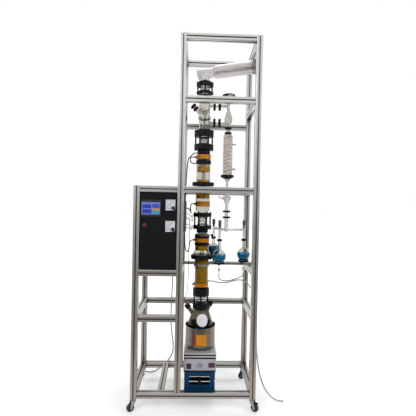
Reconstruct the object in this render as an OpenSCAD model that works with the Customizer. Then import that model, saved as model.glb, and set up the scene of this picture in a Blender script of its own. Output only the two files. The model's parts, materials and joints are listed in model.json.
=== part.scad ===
// Packed-column glass still in a profile frame on castors: a control cabinet at the left, and at the right
// a bath pot on a heated stirrer and scissor jack, the column above it and a product line with receivers.
// Sizes are in millimetres. Z is up from the floor, the front faces -Y, and the origin is under the centre.

/* [Frame] */
// Width over the left and right posts
frame_w = 800; // [760:5:900]
// Depth over the front and back posts
frame_d = 450; // [430:5:560]
// Height of the tall posts above the floor
frame_h = 2400; // [2360:5:2600]
// Side of the square aluminium profile
profile = 40; // [38:0.5:42]
// Width of the slot mouth in each face of a profile
slot_w = 8; // [6:0.5:10]
// Thickness of the lips beside a slot mouth
slot_lip = 3; // [2:0.25:4]
// Widest part of a slot behind its lips
slot_inner_w = 16; // [13:0.5:17]
// Depth of a slot from the face of the profile
slot_depth = 10.5; // [8:0.25:11]
// Bore along the middle of a profile
core_d = 7; // [5:0.5:8]
// Clear width of the cabinet bay
bay_w = 237; // [220:1:260]
// Rise of the middle rails above the base rails
middle_rise = 489; // [440:1:520]
// Height of the flat bar that carries the receivers
bar_h = 20; // [16:1:24]
// Distance from the column to the front of that bar
bar_gap = 55; // [54:0.5:60]

/* [Castors] */
// Height of a castor from the floor to the frame
castor_h = 82; // [80:1:90]
// Diameter of a castor wheel
wheel_d = 50; // [46:1:52]
// Width of a castor wheel
wheel_w = 20; // [16:1:22]
// Trail from the swivel axis to the axle
castor_trail = 20; // [16:1:24]
// Angle of the castors from the sides at rest
castor_turn = 35; // [20:1:50]
// Diameter of the axle
axle_d = 8; // [6:0.5:10]

/* [Cabinet] */
// Recess of the front panel behind the frame's face
panel_recess = 10; // [9:0.5:14]
// Thickness of the front panel
panel_t = 3; // [2:0.5:4]
// Sheet thickness of the housing
sheet_t = 2; // [1:0.25:3]
// Width of the touch screen's bezel
screen_w = 126; // [110:1:130]
// Height of the touch screen's bezel
screen_h = 106; // [90:1:115]
// Width of a panel meter
meter_w = 60; // [54:1:66]
// Height of a panel meter
meter_h = 68; // [60:1:74]
// Diameter of the stop button's cap
button_d = 20; // [16:0.5:24]
// Travel of the stop button
button_travel = 4; // [2:0.5:5]

/* [Jack and stirrer] */
// Width and depth of the jack
jack_w = 200; // [190:1:210]
// Height of the jack as it stands
jack_h = 117; // [112:1:124]
// Height of the lower pivots above the jack's underside
jack_pivot = 38; // [36:0.5:42]
// Rise from the lower to the upper pivots as the jack stands
jack_rise = 33; // [31:0.5:36]
// Level distance between the pivots of an arm
jack_span = 160; // [155:1:162]
// Diameter of the jack's cross rods
rod_d = 8; // [6:0.5:8]
// Width of the stirrer
stirrer_w = 210; // [200:1:212]
// Depth of the stirrer
stirrer_d = 240; // [230:1:245]
// Height of the stirrer's housing, with its feet
stirrer_h = 88; // [80:1:96]
// Height of the heated top
hotplate_h = 28; // [22:1:32]
// Outer diameter of the bath pot
pot_d = 200; // [190:1:206]
// Height of the bath pot
pot_h = 152; // [140:1:160]
// Sheet thickness of the bath pot
pot_t = 2; // [1:0.25:3]

/* [Glass column] */
// Distance of the column axis right of the frame's centre
col_x = 40; // [30:1:50]
// Distance of the column axis in front of the frame's centre
col_front = 60; // [55:1:64]
// Height of the boiling flask's centre above the base rails' underside
flask_rise = 423; // [415:1:440]
// Radius of the boiling flask
flask_r = 85; // [80:0.5:88]
// Outer radius of the column
glass_r = 47; // [45:0.5:48]
// Wall of the column, the flask and the reflux head
glass_t = 3; // [2:0.25:4]
// Height from the flask's centre to the first coupling
neck_rise = 169; // [165:1:175]
// Height of the lower column between couplings
lower_h = 535; // [530:1:545]
// Height of the upper column between couplings
upper_h = 543; // [538:1:553]
// Height of the reflux head between couplings
head_h = 348; // [343:1:358]
// Outer radius of the reflux head
head_r = 36; // [34:0.5:38]
// Outer radius of the wide black flanges
flange_r = 74; // [68:0.5:76]
// Diameter of the tie rods
tie_d = 6; // [5:0.5:7]
// Radius of the tilted condenser's jacket
condenser_r = 44; // [40:0.5:46]
// Slope of the tilted condenser
condenser_tilt = 10; // [8:0.5:11]

/* [Product line] */
// Distance from the column to the product line
line_gap = 163; // [158:1:168]
// Radius of the upright condenser's jacket
jacket_r = 32; // [28:0.5:34]
// Radius of the tube of the inner coil
coil_tube_r = 4; // [3:0.25:4.5]
// Radius of the inner coil at the middle of its tube
coil_r = 18; // [15:0.5:20]
// Turns of the inner coil
coil_turns = 10; // [8:1:12]
// Radius of a receiver flask
receiver_r = 46; // [42:0.5:47]
// Wall of the receivers and the small tubes
thin_t = 2; // [1.5:0.25:2.5]

/* [Clearances] */
// Gap round rings and clamps on the glass
seat_gap = 0.3; // [0.2:0.05:0.5]
// Radial gap of a shaft in its bore
shaft_gap = 0.1; // [0.05:0.01:0.1]

/* [Hidden] */
$fn = 64;

// Frame planes
x_left = -frame_w / 2;
x_right = frame_w / 2;
x_mid = x_left + profile + bay_w;
y_front = -frame_d / 2;
y_back = frame_d / 2;
y_in_front = y_front + profile;
y_in_back = y_back - profile;
base_z = castor_h;
base_top = base_z + profile;

// Column levels, upwards from the boiling flask
col_y = -col_front;
flask_z = base_z + flask_rise;
c1_z = flask_z + neck_rise;
c2_z = c1_z + lower_h;
c3_z = c2_z + upper_h;
c4_z = c3_z + head_h;

// Rail levels, each the underside of a rail
middle_z = base_z + middle_rise;
shelf_z = c1_z + 188;
third_z = c2_z + 185;
head_front_z = c3_z + 216;
head_back_z = c3_z + 134;
top_z = frame_h - profile;
short_top = third_z + profile;
bar_z = shelf_z + profile;
bar_y = col_y + bar_gap;

module profile_section() {
  corner_r = 3;
  half = profile / 2;
  flat = profile - 2 * corner_r;
  difference() {
    union() {
      square([profile, flat], center = true);
      square([flat, profile], center = true);
      for (sx = [-1, 1], sy = [-1, 1])
        translate([sx * (half - corner_r), sy * (half - corner_r)]) circle(r = corner_r);
    }
    for (turn = [0 : 90 : 270]) rotate(turn) slot_outline(half);
    circle(d = core_d);
  }
}

module slot_outline(half) {
  mouth = slot_w / 2;
  inner = slot_inner_w / 2;
  waist = 3.5;
  foot = 4.5;
  polygon([
    [-mouth, half + 1], [-mouth, half - slot_lip], [-inner, half - slot_lip],
    [-inner, half - slot_lip - waist], [-foot, half - slot_depth], [foot, half - slot_depth],
    [inner, half - slot_lip - waist], [inner, half - slot_lip], [mouth, half - slot_lip], [mouth, half + 1]
  ]);
}

module post(x, y, z0, z1)
  translate([x + profile / 2, y + profile / 2, z0]) linear_extrude(z1 - z0) profile_section();

module rail_x(x0, x1, y, z)
  translate([x0, y + profile / 2, z + profile / 2]) rotate([90, 0, 90])
    linear_extrude(x1 - x0) profile_section();

module rail_y(x, y0, y1, z)
  translate([x + profile / 2, y0, z + profile / 2]) rotate([-90, 0, 0])
    linear_extrude(y1 - y0) profile_section();

module side_rail(x, z, gap = 0) rail_y(x, y_in_front + gap, y_in_back - gap, z);

// Round ring between two levels, about the Z axis
module ring(r_out, r_in, z0, z1)
  translate([0, 0, z0]) difference() {
    cylinder(r = r_out, h = z1 - z0);
    translate([0, 0, -1]) cylinder(r = r_in, h = z1 - z0 + 2);
  }

// Ring with its outer edges chamfered
module soft_ring(r_out, r_in, z0, z1, edge) {
  e = min(edge, (r_out - r_in) / 3);
  rotate_extrude() polygon([
    [r_in, z0], [r_out - e, z0], [r_out, z0 + e], [r_out, z1 - e], [r_out - e, z1], [r_in, z1]
  ]);
}

// Revolved wall whose outside follows a list of radius and height
module shell(outside, wall)
  rotate_extrude() polygon(concat(
    outside,
    [for (i = [len(outside) - 1 : -1 : 0]) [outside[i][0] - wall, outside[i][1]]]
  ));

module at_column() translate([col_x, col_y, 0]) children();

// Frame
module posts() color("silver") {
  for (y = [y_front, y_in_back]) {
    post(x_left, y, base_z, short_top);
    post(x_right - profile, y, base_z, frame_h);
    post(x_mid, y, base_top, frame_h);
  }
}

cross_x = x_left + 170;
bearer_gap = 90;

module lower_rails() color("silver") {
  for (y = [y_front, y_in_back]) {
    rail_x(x_left + profile, x_right - profile, y, base_z);
    rail_x(x_left + profile, x_mid, y, middle_z);
    rail_x(x_left + profile, x_mid, y, shelf_z);
  }
  rail_x(x_mid + profile, x_right - profile, y_in_back, middle_z);
  for (x = [x_left, x_right - profile], z = [base_z, middle_z, shelf_z]) side_rail(x, z);
  side_rail(x_mid, shelf_z);
  for (x = [cross_x, col_x - bearer_gap, col_x + bearer_gap - profile]) side_rail(x, base_z, seat_gap);
  difference() {
    translate([x_mid, bar_y, bar_z + seat_gap]) cube([x_right - x_mid, profile, bar_h]);
    for (y = [bar_y - 1, bar_y + profile - slot_lip])
      translate([x_mid - 1, y, bar_z + seat_gap + (bar_h - slot_w) / 2])
        cube([x_right - x_mid + 2, slot_lip + 1, slot_w]);
  }
}

module upper_rails() color("silver") {
  for (y = [y_front, y_in_back]) {
    rail_x(x_left + profile, x_mid, y, third_z);
    rail_x(x_mid + profile, x_right - profile, y, third_z);
    rail_x(x_mid + profile, x_right - profile, y, top_z);
  }
  rail_x(x_mid + profile, x_right - profile, y_front, head_front_z);
  rail_x(x_mid + profile, x_right - profile, y_in_back, head_back_z);
  side_rail(x_left, third_z);
  for (x = [x_mid, x_right - profile], z = [third_z, head_front_z, top_z]) side_rail(x, z);
}

// Castors, numbered front left, front right, back left, back right
castor_x = profile / 2 - frame_w / 2;
castor_y = profile / 2 - frame_d / 2;
castor_place = [
  [castor_x, castor_y, 180 + castor_turn], [-castor_x, castor_y, -castor_turn],
  [castor_x, -castor_y, 180 - castor_turn], [-castor_x, -castor_y, 180 + castor_turn]
];
plate_t = 3;
race_h = 9;
king_r = 5;
crown_t = 8;
crown_r = 18;
rivet_t = 3;
crown_top = castor_h - plate_t - race_h - 0.5;
crown_bottom = crown_top - crown_t;
cheek_in = wheel_w / 2 + 2;
cheek_t = 3;
boss_r = axle_d / 2 + 4;
pedal_x = 14;
pedal_z = crown_bottom - 5;
pedal_pin_r = 2.5;

module at_castor(i)
  translate([castor_place[i][0], castor_place[i][1], 0]) rotate(castor_place[i][2]) children();

module castor_plates() color("gainsboro")
  for (place = castor_place) translate([place[0], place[1], 0]) {
    translate([-profile / 2, -profile / 2, castor_h - plate_t]) cube([profile, profile, plate_t]);
    translate([0, 0, crown_top + 0.5]) cylinder(r = crown_r + 1, h = race_h);
    translate([0, 0, crown_bottom - 1]) cylinder(r = king_r, h = crown_t + 2);
    translate([0, 0, crown_bottom - 0.5 - rivet_t]) cylinder(r = king_r + 3, h = rivet_t);
  }

module cheek_outline() {
  polygon([
    [-crown_r + 4, crown_top], [crown_r - 2, crown_top],
    [castor_trail + boss_r, wheel_d / 2], [castor_trail - boss_r, wheel_d / 2]
  ]);
  translate([castor_trail, wheel_d / 2]) circle(r = boss_r);
}

module castor_fork(i, braked) color("gainsboro") at_castor(i) {
  difference() {
    union() {
      translate([0, 0, crown_bottom]) cylinder(r = crown_r, h = crown_t);
      for (y = [-cheek_in - cheek_t, cheek_in])
        translate([0, y + cheek_t, 0]) rotate([90, 0, 0]) linear_extrude(cheek_t) cheek_outline();
    }
    translate([0, 0, crown_bottom - 1]) cylinder(r = king_r + shaft_gap, h = crown_t + 2);
    if (braked)
      translate([pedal_x, 0, pedal_z]) rotate([90, 0, 0])
        cylinder(r = pedal_pin_r + shaft_gap, h = 4 * cheek_in, center = true);
  }
  translate([castor_trail, 0, wheel_d / 2]) rotate([90, 0, 0])
    cylinder(d = axle_d, h = 2 * cheek_in + 2 * cheek_t, center = true);
}

module castor_wheel(i) color("dimgray") at_castor(i) {
  r = wheel_d / 2;
  w = wheel_w / 2;
  hub = axle_d / 2 + 4;
  translate([castor_trail, 0, r]) rotate([90, 0, 0]) rotate_extrude() polygon([
    [axle_d / 2 + shaft_gap, -w - 1], [hub, -w - 1], [hub + 1, -w + 4], [r - 9, -w + 4], [r - 7, -w],
    [r - 2.5, -w], [r - 0.8, -w + 2], [r, -w + 5],
    [r, w - 5], [r - 0.8, w - 2], [r - 2.5, w],
    [r - 7, w], [r - 9, w - 4], [hub + 1, w - 4], [hub, w + 1], [axle_d / 2 + shaft_gap, w + 1]
  ]);
}

module castor_brake() color("black") at_castor(1) {
  w = wheel_w / 2 - 2;
  tip = castor_trail + wheel_d / 2 - 3;
  translate([pedal_x, 0, pedal_z]) rotate([90, 0, 0])
    cylinder(r = pedal_pin_r, h = 2 * cheek_in + 2 * cheek_t, center = true);
  translate([0, w, 0]) rotate([90, 0, 0]) linear_extrude(2 * w) {
    translate([pedal_x, pedal_z]) circle(r = 4);
    polygon([[pedal_x, pedal_z + 4], [pedal_x, pedal_z - 2], [tip - 8, pedal_z - 4], [tip - 8, pedal_z]]);
    polygon([[tip - 9, pedal_z + 1], [tip - 9, pedal_z - 5], [tip, pedal_z - 7], [tip, pedal_z - 1]]);
  }
}

// Cabinet
cab_x = x_left + profile;
cab_gap = 0.5;
cab_bottom = bar_z;
cab_top = third_z;
cab_y = y_front + panel_recess;
cab_back = y_in_back + profile / 2;
screen_x = cab_x + 71;
screen_z = cab_top - 102;
meter_x = cab_x + bay_w - 43;
meter_z = [cab_top - 80, cab_top - 215];
button_x = cab_x + 32;
button_z = cab_top - 210;
bezel_t = 5;
cut_gap = 1;
bezel_lip = 4;
meter_body_r = 25;
meter_lip = 3;
dial_depth = 4.5;
pivot_off = [18, 20];
pivot_r = 1.5;
needle_r = 38;
button_proud = 8;
collar_r = button_d / 2 + 4;
gland_x = cab_x + 185;
gland_z = cab_bottom + 28;
gland_len = 35;

module cabinet_box(y0, y1, inset)
  translate([cab_x + cab_gap + inset, y0, cab_bottom + inset])
    cube([bay_w - 2 * cab_gap - 2 * inset, y1 - y0, cab_top - cab_bottom - 2 * inset]);

module cabinet_housing() color("dimgray") {
  difference() {
    cabinet_box(cab_y + panel_t, cab_back, 0);
    cabinet_box(cab_y, cab_back - sheet_t, sheet_t);
  }
  translate([gland_x, cab_back, gland_z]) rotate([-90, 0, 0]) rotate_extrude()
    polygon([[0, 0], [11, 0], [11, 7], [8, 9], [5.5, gland_len], [0, gland_len]]);
}

module cabinet_panel() color("black") difference() {
  cabinet_box(cab_y, cab_y + panel_t, 0);
  translate([screen_x - screen_w / 2 + bezel_lip, cab_y - 1, screen_z - screen_h / 2 + bezel_lip])
    cube([screen_w - 2 * bezel_lip, panel_t + 2, screen_h - 2 * bezel_lip]);
  for (z = meter_z) translate([meter_x, cab_y - 1, z]) rotate([-90, 0, 0])
    cylinder(r = meter_body_r, h = panel_t + 2);
  translate([button_x, cab_y - 1, button_z]) rotate([-90, 0, 0])
    cylinder(d = button_d + 2 * seat_gap, h = panel_t + 2);
}

module touch_screen() color("dimgray") {
  inset = bezel_lip + cut_gap;
  glass_x = 5;
  glass_low = 13;
  glass_top = 15;
  difference() {
    translate([screen_x - screen_w / 2, cab_y - bezel_t, screen_z - screen_h / 2])
      cube([screen_w, bezel_t, screen_h]);
    translate([screen_x - screen_w / 2 + glass_x, cab_y - bezel_t - 1, screen_z - screen_h / 2 + glass_low])
      cube([screen_w - 2 * glass_x, 2, screen_h - glass_low - glass_top]);
  }
  translate([screen_x - screen_w / 2 + inset, cab_y, screen_z - screen_h / 2 + inset])
    cube([screen_w - 2 * inset, 35, screen_h - 2 * inset]);
}

module panel_meter() {
  difference() {
    translate([-meter_w / 2, -bezel_t - 1, -meter_h / 2]) cube([meter_w, bezel_t + 1, meter_h]);
    translate([-meter_w / 2 + meter_lip, -bezel_t - 2, -meter_h / 2 + meter_lip])
      cube([meter_w - 2 * meter_lip, dial_depth + 1, meter_h - 2 * meter_lip]);
  }
  translate([pivot_off[0], -bezel_t - 1 + dial_depth, -pivot_off[1]]) rotate([90, 0, 0])
    cylinder(r = pivot_r, h = dial_depth - 2);
  cover = [meter_w / 2 - pivot_off[0] + 10, 1.5, meter_h / 2 - pivot_off[1] + 12];
  translate([meter_w / 2 - cover[0], -bezel_t - 1, -meter_h / 2]) cube(cover);
  rotate([-90, 0, 0]) cylinder(r = meter_body_r - seat_gap, h = 45);
}

module panel_bezels() color("whitesmoke") {
  for (z = meter_z) translate([meter_x, cab_y, z]) panel_meter();
  translate([button_x, cab_y, button_z]) rotate([90, 0, 0])
    soft_ring(collar_r, button_d / 2 + seat_gap, 0, 4, 1);
}

module meter_needle(z) color("black") {
  needle_y = cab_y - bezel_t - 1 + dial_depth - 0.4;
  translate([meter_x + pivot_off[0], needle_y, z - pivot_off[1]]) rotate([90, 0, 0]) difference() {
    linear_extrude(0.8) {
      circle(r = 4);
      polygon([[0, 2], [-needle_r, 0.5], [-needle_r, -0.5], [0, -2]]);
    }
    translate([0, 0, -1]) cylinder(r = pivot_r + shaft_gap, h = 4);
  }
}

module meter_needle_1() meter_needle(meter_z[0]);
module meter_needle_2() meter_needle(meter_z[1]);

module stop_button() color("firebrick")
  translate([button_x, cab_y, button_z]) rotate([90, 0, 0]) {
    translate([0, 0, -12]) cylinder(d = button_d, h = 12 + button_proud - 2);
    translate([0, 0, button_proud - 2]) cylinder(d1 = button_d, d2 = button_d - 5, h = 2);
    translate([0, 0, -14]) cylinder(d = button_d + 4, h = 14 - panel_t - button_travel);
  }

// Scissor jack, about the column axis
jack_y0 = y_in_front + 5;
jack_y1 = jack_y0 + jack_w;
jack_top = base_top + jack_h;
jack_plate = 3;
pivot_z0 = base_top + jack_pivot;
pivot_z1 = pivot_z0 + jack_rise;
pivot_back = jack_y1 - 15;
pivot_front = pivot_back - jack_span;
arm_t = 4;
arm_w = 16;
arm_gap = 1;
lug_t = 4;
arm_out = jack_w / 2 - 12;
arm_in = arm_out - arm_t - arm_gap;
lug_out = arm_out + arm_t / 2 + arm_gap + lug_t / 2;
lug_in = arm_in - arm_t / 2 - arm_gap - lug_t / 2;
wing_w = 32;
wing_t = 2;
slot_play = 0.5;
screw_z = pivot_z0 + 11;
screw_r = 4;

// A plate in the YZ plane at both sides of the jack, centred on a distance from its axis
module jack_sides(x, t)
  for (side = [-1, 1]) translate([col_x + side * x - t / 2, 0, 0]) rotate([90, 0, 90])
    linear_extrude(t) children();

module jack_rod(y, z, x)
  translate([col_x - x, y, z]) rotate([0, 90, 0]) cylinder(d = rod_d, h = 2 * x);

module slot_hole(y, z) {
  r = rod_d / 2 + slot_play;
  travel = [-4, 12];
  translate([y + travel[0], z - r]) square([travel[1] - travel[0], 2 * r]);
  for (dy = travel) translate([y + dy, z]) circle(r = r);
}

// Front or back sheet of the jack, with a window between its two wings
module jack_apron(y, z0, z1, skirt)
  translate([col_x - jack_w / 2, y, 0]) rotate([90, 0, 0]) linear_extrude(wing_t, center = true) {
    for (x = [0, jack_w - wing_w]) translate([x, z0]) square([wing_w, z1 - z0]);
    translate([0, skirt[0]]) square([jack_w, skirt[1] - skirt[0]]);
  }

module jack_base() color("steelblue") {
  low = base_top + jack_plate;
  translate([col_x - jack_w / 2, jack_y0 + 5, base_top]) cube([jack_w, jack_w - 10, jack_plate]);
  for (y = [jack_y0 + 6, jack_y1 - 6])
    jack_apron(y, base_top, pivot_z0 + 8, [base_top, base_top + 26]);
  jack_sides(lug_out, lug_t) difference() {
    translate([pivot_back - 18, low]) square([26, pivot_z0 + 10 - low]);
    translate([pivot_back, pivot_z0]) circle(r = rod_d / 2 + shaft_gap);
  }
  jack_sides(lug_in, lug_t) difference() {
    translate([pivot_front - 10, low]) square([30, pivot_z0 + 10 - low]);
    slot_hole(pivot_front, pivot_z0);
  }
  for (y = [pivot_front + 24, pivot_back - 24])
    translate([col_x, y, 0]) rotate([90, 0, 0]) linear_extrude(6) difference() {
      translate([-9, low]) square([18, screw_z + 9 - low]);
      translate([0, screw_z]) circle(r = screw_r + shaft_gap);
    }
}

module jack_platform() color("steelblue") {
  under = jack_top - jack_plate;
  translate([col_x - stirrer_w / 2, jack_y0 - 3, under]) cube([stirrer_w, jack_w + 6, jack_plate]);
  for (y = [jack_y0 + 2, jack_y1 - 2])
    jack_apron(y, pivot_z1 - 14, under, [under - 22, under]);
  jack_sides(lug_out, lug_t) difference() {
    translate([pivot_front - 10, pivot_z1 - 10]) square([30, under - pivot_z1 + 10]);
    slot_hole(pivot_front, pivot_z1);
  }
  jack_sides(lug_in, lug_t) difference() {
    translate([pivot_back - 18, pivot_z1 - 10]) square([26, under - pivot_z1 + 10]);
    translate([pivot_back, pivot_z1]) circle(r = rod_d / 2 + shaft_gap);
  }
}

module arm_outline(z_front, z_back) {
  slope = atan2(z_front - z_back, jack_span);
  length = sqrt(jack_span * jack_span + jack_rise * jack_rise);
  translate([pivot_back, z_back]) rotate(180 - slope) translate([0, -arm_w / 2]) square([length, arm_w]);
  translate([pivot_back, z_back]) circle(d = arm_w);
  translate([pivot_front, z_front]) circle(d = arm_w);
}

pin_mid = [(pivot_front + pivot_back) / 2, (pivot_z0 + pivot_z1) / 2];
rod_reach = lug_out + lug_t / 2;

module jack_arms_outer() color("royalblue") {
  jack_sides(arm_out, arm_t) arm_outline(pivot_z1, pivot_z0);
  jack_rod(pivot_front, pivot_z1, rod_reach);
  jack_sides((arm_out + lug_out) / 2, arm_t + arm_gap + lug_t)
    translate([pivot_back, pivot_z0]) circle(d = rod_d);
  jack_sides((arm_out + arm_in) / 2, 2 * arm_t + arm_gap) translate(pin_mid) circle(d = rod_d);
}

module jack_arms_inner() color("royalblue") {
  jack_sides(arm_in, arm_t) difference() {
    arm_outline(pivot_z0, pivot_z1);
    translate(pin_mid) circle(r = rod_d / 2 + slot_play);
  }
  jack_rod(pivot_front, pivot_z0, arm_in + arm_t / 2);
  jack_sides((arm_in + lug_in) / 2, arm_t + arm_gap + lug_t)
    translate([pivot_back, pivot_z1]) circle(d = rod_d);
}

module jack_screw() color("black")
  translate([col_x, 0, screw_z]) rotate([-90, 0, 0]) {
    knob_y = jack_y0 - 32;
    wing = 24;
    translate([0, 0, knob_y]) cylinder(r = screw_r, h = pivot_back - 20 - knob_y);
    translate([0, 0, knob_y]) cylinder(r1 = 9, r2 = 11, h = 22);
    translate([0, 0, jack_y0 - 10]) cylinder(r = 8, h = 6);
    translate([0, 0, knob_y + 2]) linear_extrude(16) {
      translate([-7, -wing + 7]) square([14, 2 * wing - 14]);
      for (y = [7 - wing, wing - 7]) translate([0, y]) circle(r = 7);
    }
  }

// Heated stirrer
stirrer_y0 = jack_y0;
stirrer_z = jack_top;
foot_h = 4;
housing_top = stirrer_z + stirrer_h;
pot_z = housing_top + hotplate_h;
seam = 6;
knob_x = col_x;
knob_z = stirrer_z + 39;
knob_r = 12;
rocker_w = 17;
rocker_h = 26;
rocker_x = [col_x + 66, col_x + 87];
rocker_z = stirrer_z + 39;
rocker_tilt = 8;
rocker_depth = 2;
rocker_pin_r = 1.5;

module stirrer_block(inset, z0, z1) {
  edge = 6;
  translate([col_x - stirrer_w / 2 + inset, stirrer_y0 + inset, z0]) linear_extrude(z1 - z0) {
    w = stirrer_w - 2 * inset;
    d = stirrer_d - 2 * inset;
    translate([edge, 0]) square([w - 2 * edge, d]);
    translate([0, edge]) square([w, d - 2 * edge]);
    for (x = [edge, w - edge], y = [edge, d - edge]) translate([x, y]) circle(r = edge);
  }
}

module stirrer_housing() color("lightgray") {
  difference() {
    union() {
      stirrer_block(0, stirrer_z + foot_h, housing_top - seam);
      stirrer_block(4, housing_top - seam - 1, housing_top);
      for (x = [-1, 1], y = [22, stirrer_d - 62])
        translate([col_x + x * (stirrer_w / 2 - 22), stirrer_y0 + y, stirrer_z])
          cylinder(r = 9, h = foot_h + 1);
    }
    translate([col_x - 87, stirrer_y0 - 1, stirrer_z + 14]) cube([32, 2, 36]);
    translate([knob_x, stirrer_y0 - 1, knob_z]) rotate([-90, 0, 0]) cylinder(r = 3 + shaft_gap, h = 21);
    for (x = rocker_x) {
      translate([x - rocker_w / 2, stirrer_y0 - 1, rocker_z - rocker_h / 2]) cube([rocker_w, 15, rocker_h]);
      translate([x, stirrer_y0 + rocker_depth, rocker_z]) rotate([0, 90, 0])
        cylinder(r = rocker_pin_r + shaft_gap, h = rocker_w + 4, center = true);
    }
  }
}

module hot_plate() color("silver") {
  stirrer_block(0, housing_top, housing_top + 13);
  stirrer_block(4, housing_top + 12, housing_top + 13 + seam);
  stirrer_block(0, housing_top + 12 + seam, pot_z);
}

module stirrer_knob() color("gray")
  translate([knob_x, stirrer_y0, knob_z]) rotate([90, 0, 0]) {
    translate([0, 0, -18]) cylinder(r = 3, h = 20);
    difference() {
      translate([0, 0, 0.5]) cylinder(r1 = knob_r, r2 = knob_r - 1.5, h = 14);
      for (turn = [0 : 30 : 330])
        rotate(turn) translate([knob_r + 0.6, 0, 2]) cylinder(r = 1.4, h = 16);
      translate([-0.8, 3, 13]) cube([1.6, knob_r, 3]);
    }
  }

module rocker(x) color("darkred")
  translate([x, stirrer_y0 + rocker_depth, rocker_z]) rotate([-rocker_tilt, 0, 0]) {
    w = rocker_w - 2 * seat_gap;
    rotate([90, 0, 90]) linear_extrude(w, center = true)
      polygon([[5, -9], [-4, -11], [-5.5, -11], [-4, 0], [-5.5, 11], [-4, 11], [5, 9]]);
    rotate([0, 90, 0]) cylinder(r = rocker_pin_r, h = rocker_w + 3, center = true);
  }

module rocker_left() rocker(rocker_x[0]);
module rocker_right() rocker(rocker_x[1]);

// Arc of a revolved outline about a centre, from one angle to another
function arc(r, z, radius, a0, a1, steps) =
  [for (i = [0 : steps]) let (a = a0 + (a1 - a0) * i / steps) [r + radius * cos(a), z + radius * sin(a)]];

module bath_pot() color("silver") at_column() {
  r = pot_d / 2;
  bend = 34;
  lip = 3;
  rim = pot_z + pot_h;
  rotate_extrude() polygon(concat(
    [[0, pot_z]], arc(r - bend, pot_z + bend, bend, -90, 0, 10),
    [[r, rim - lip], [r + lip, rim - lip], [r + lip, rim], [r - pot_t, rim]],
    arc(r - bend, pot_z + bend, bend - pot_t, 0, -90, 10), [[0, pot_z + pot_t]]
  ));
}

// Boiling flask with three necks
neck_r = 34;
slim_r = 30;
bead = 6;
bead_h = 8;
side_tilt = 36;
side_r = 14;
side_len = 160;
side_turn = [180, 42];
cap_grip = 22;

module at_side_neck(i)
  at_column() translate([0, 0, flask_z]) rotate([0, 0, side_turn[i]]) rotate([0, side_tilt, 0]) children();

// Outline of the flask: a round bottom, a cone that leaves it in line, and a soft shoulder at a height
flask_slope = 19;
flask_top = neck_rise - 77;
function cone_r(r, z) = (r - z * sin(flask_slope)) / cos(flask_slope);
function flask_outline(r, top) = concat(
  [[0, -r]], arc(0, 0, r, -81, flask_slope, 16),
  [[cone_r(r, top), top], [cone_r(r, top) - 3, top + 3.5], [cone_r(r, top) - 9, top + 5], [0, top + 5]]
);

module boiling_flask() color([0.85, 0.9, 0.9, 0.4]) difference() {
  union() {
    at_column() {
      translate([0, 0, flask_z]) rotate_extrude() polygon(flask_outline(flask_r, flask_top));
      translate([0, 0, flask_z]) cylinder(r = neck_r, h = c1_z - flask_z);
      translate([0, 0, couplings[0][1]]) cylinder(r = neck_r + bead, h = bead_h);
    }
    for (i = [0, 1]) at_side_neck(i) cylinder(r = side_r, h = side_len);
  }
  at_column() {
    translate([0, 0, flask_z]) rotate_extrude() polygon(flask_outline(flask_r - glass_t, flask_top - glass_t));
    translate([0, 0, flask_z]) cylinder(r = neck_r - glass_t, h = neck_rise + 1);
  }
  for (i = [0, 1]) at_side_neck(i) cylinder(r = side_r - thin_t, h = side_len + 1);
}

// Couplings: ends of the lower collar, ends of the upper collar, outer radius, bore, rods and their turn
couplings = [
  [c1_z - 63, c1_z - 28, c1_z + 28, c1_z + 79, 53, neck_r, 4, 0],
  [c2_z - 53, c2_z - 29, c2_z + 29, c2_z + 56, 59, slim_r, 6, 0],
  [c3_z - 62, c3_z - 25, c3_z + 26, c3_z + 69, 63, slim_r, 6, 0],
  [c4_z - 32, c4_z - 18, c4_z + 18, c4_z + 46, 55, slim_r, 4, 0]
];
lug_edge = 7;
lug_r = 9;
nut_h = 4;
nut_r = 5.5;
function rod_angles(c) = [for (i = [0 : c[6] - 1]) c[7] + i * 360 / c[6]];

module collar(c, z0, z1) difference() {
  union() {
    soft_ring(c[4] - 4, c[5] + seat_gap, z0, z1, 2);
    for (a = rod_angles(c)) rotate(a) translate([c[4] - lug_edge, 0, z0]) cylinder(r = lug_r, h = z1 - z0);
  }
  translate([0, 0, z0 - 1]) cylinder(r = c[5] + seat_gap, h = z1 - z0 + 2);
  for (a = rod_angles(c))
    rotate(a) translate([c[4] - lug_edge, 0, z0 - 1]) cylinder(d = tie_d + 2 * seat_gap, h = z1 - z0 + 2);
}

module coupling_collars() color("black") at_column()
  for (c = couplings) {
    collar(c, c[0], c[1]);
    collar(c, c[2], c[3]);
  }

module tie_rods() color("silver") at_column()
  for (c = couplings, a = rod_angles(c)) rotate(a) translate([c[4] - lug_edge, 0, 0]) {
    translate([0, 0, c[0] - nut_h - 2]) cylinder(d = tie_d, h = c[3] - c[0] + 2 * nut_h + 4);
    for (z = [c[0] - nut_h, c[3]]) translate([0, 0, z]) cylinder(r = nut_r, h = nut_h, $fn = 6);
  }

// Column glass: necks in the couplings, wide tubes between them and a thin tube along the middle
shoulder = 13;
cone_z = [c1_z + 306, c1_z + 338];
cone_r = 62;
core_r = 14;
nipple_z = c1_z + 126;
nipple_x = 66;

module neck_bead(r, z) ring(r + bead, r - 1, z, z + bead_h);

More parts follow.
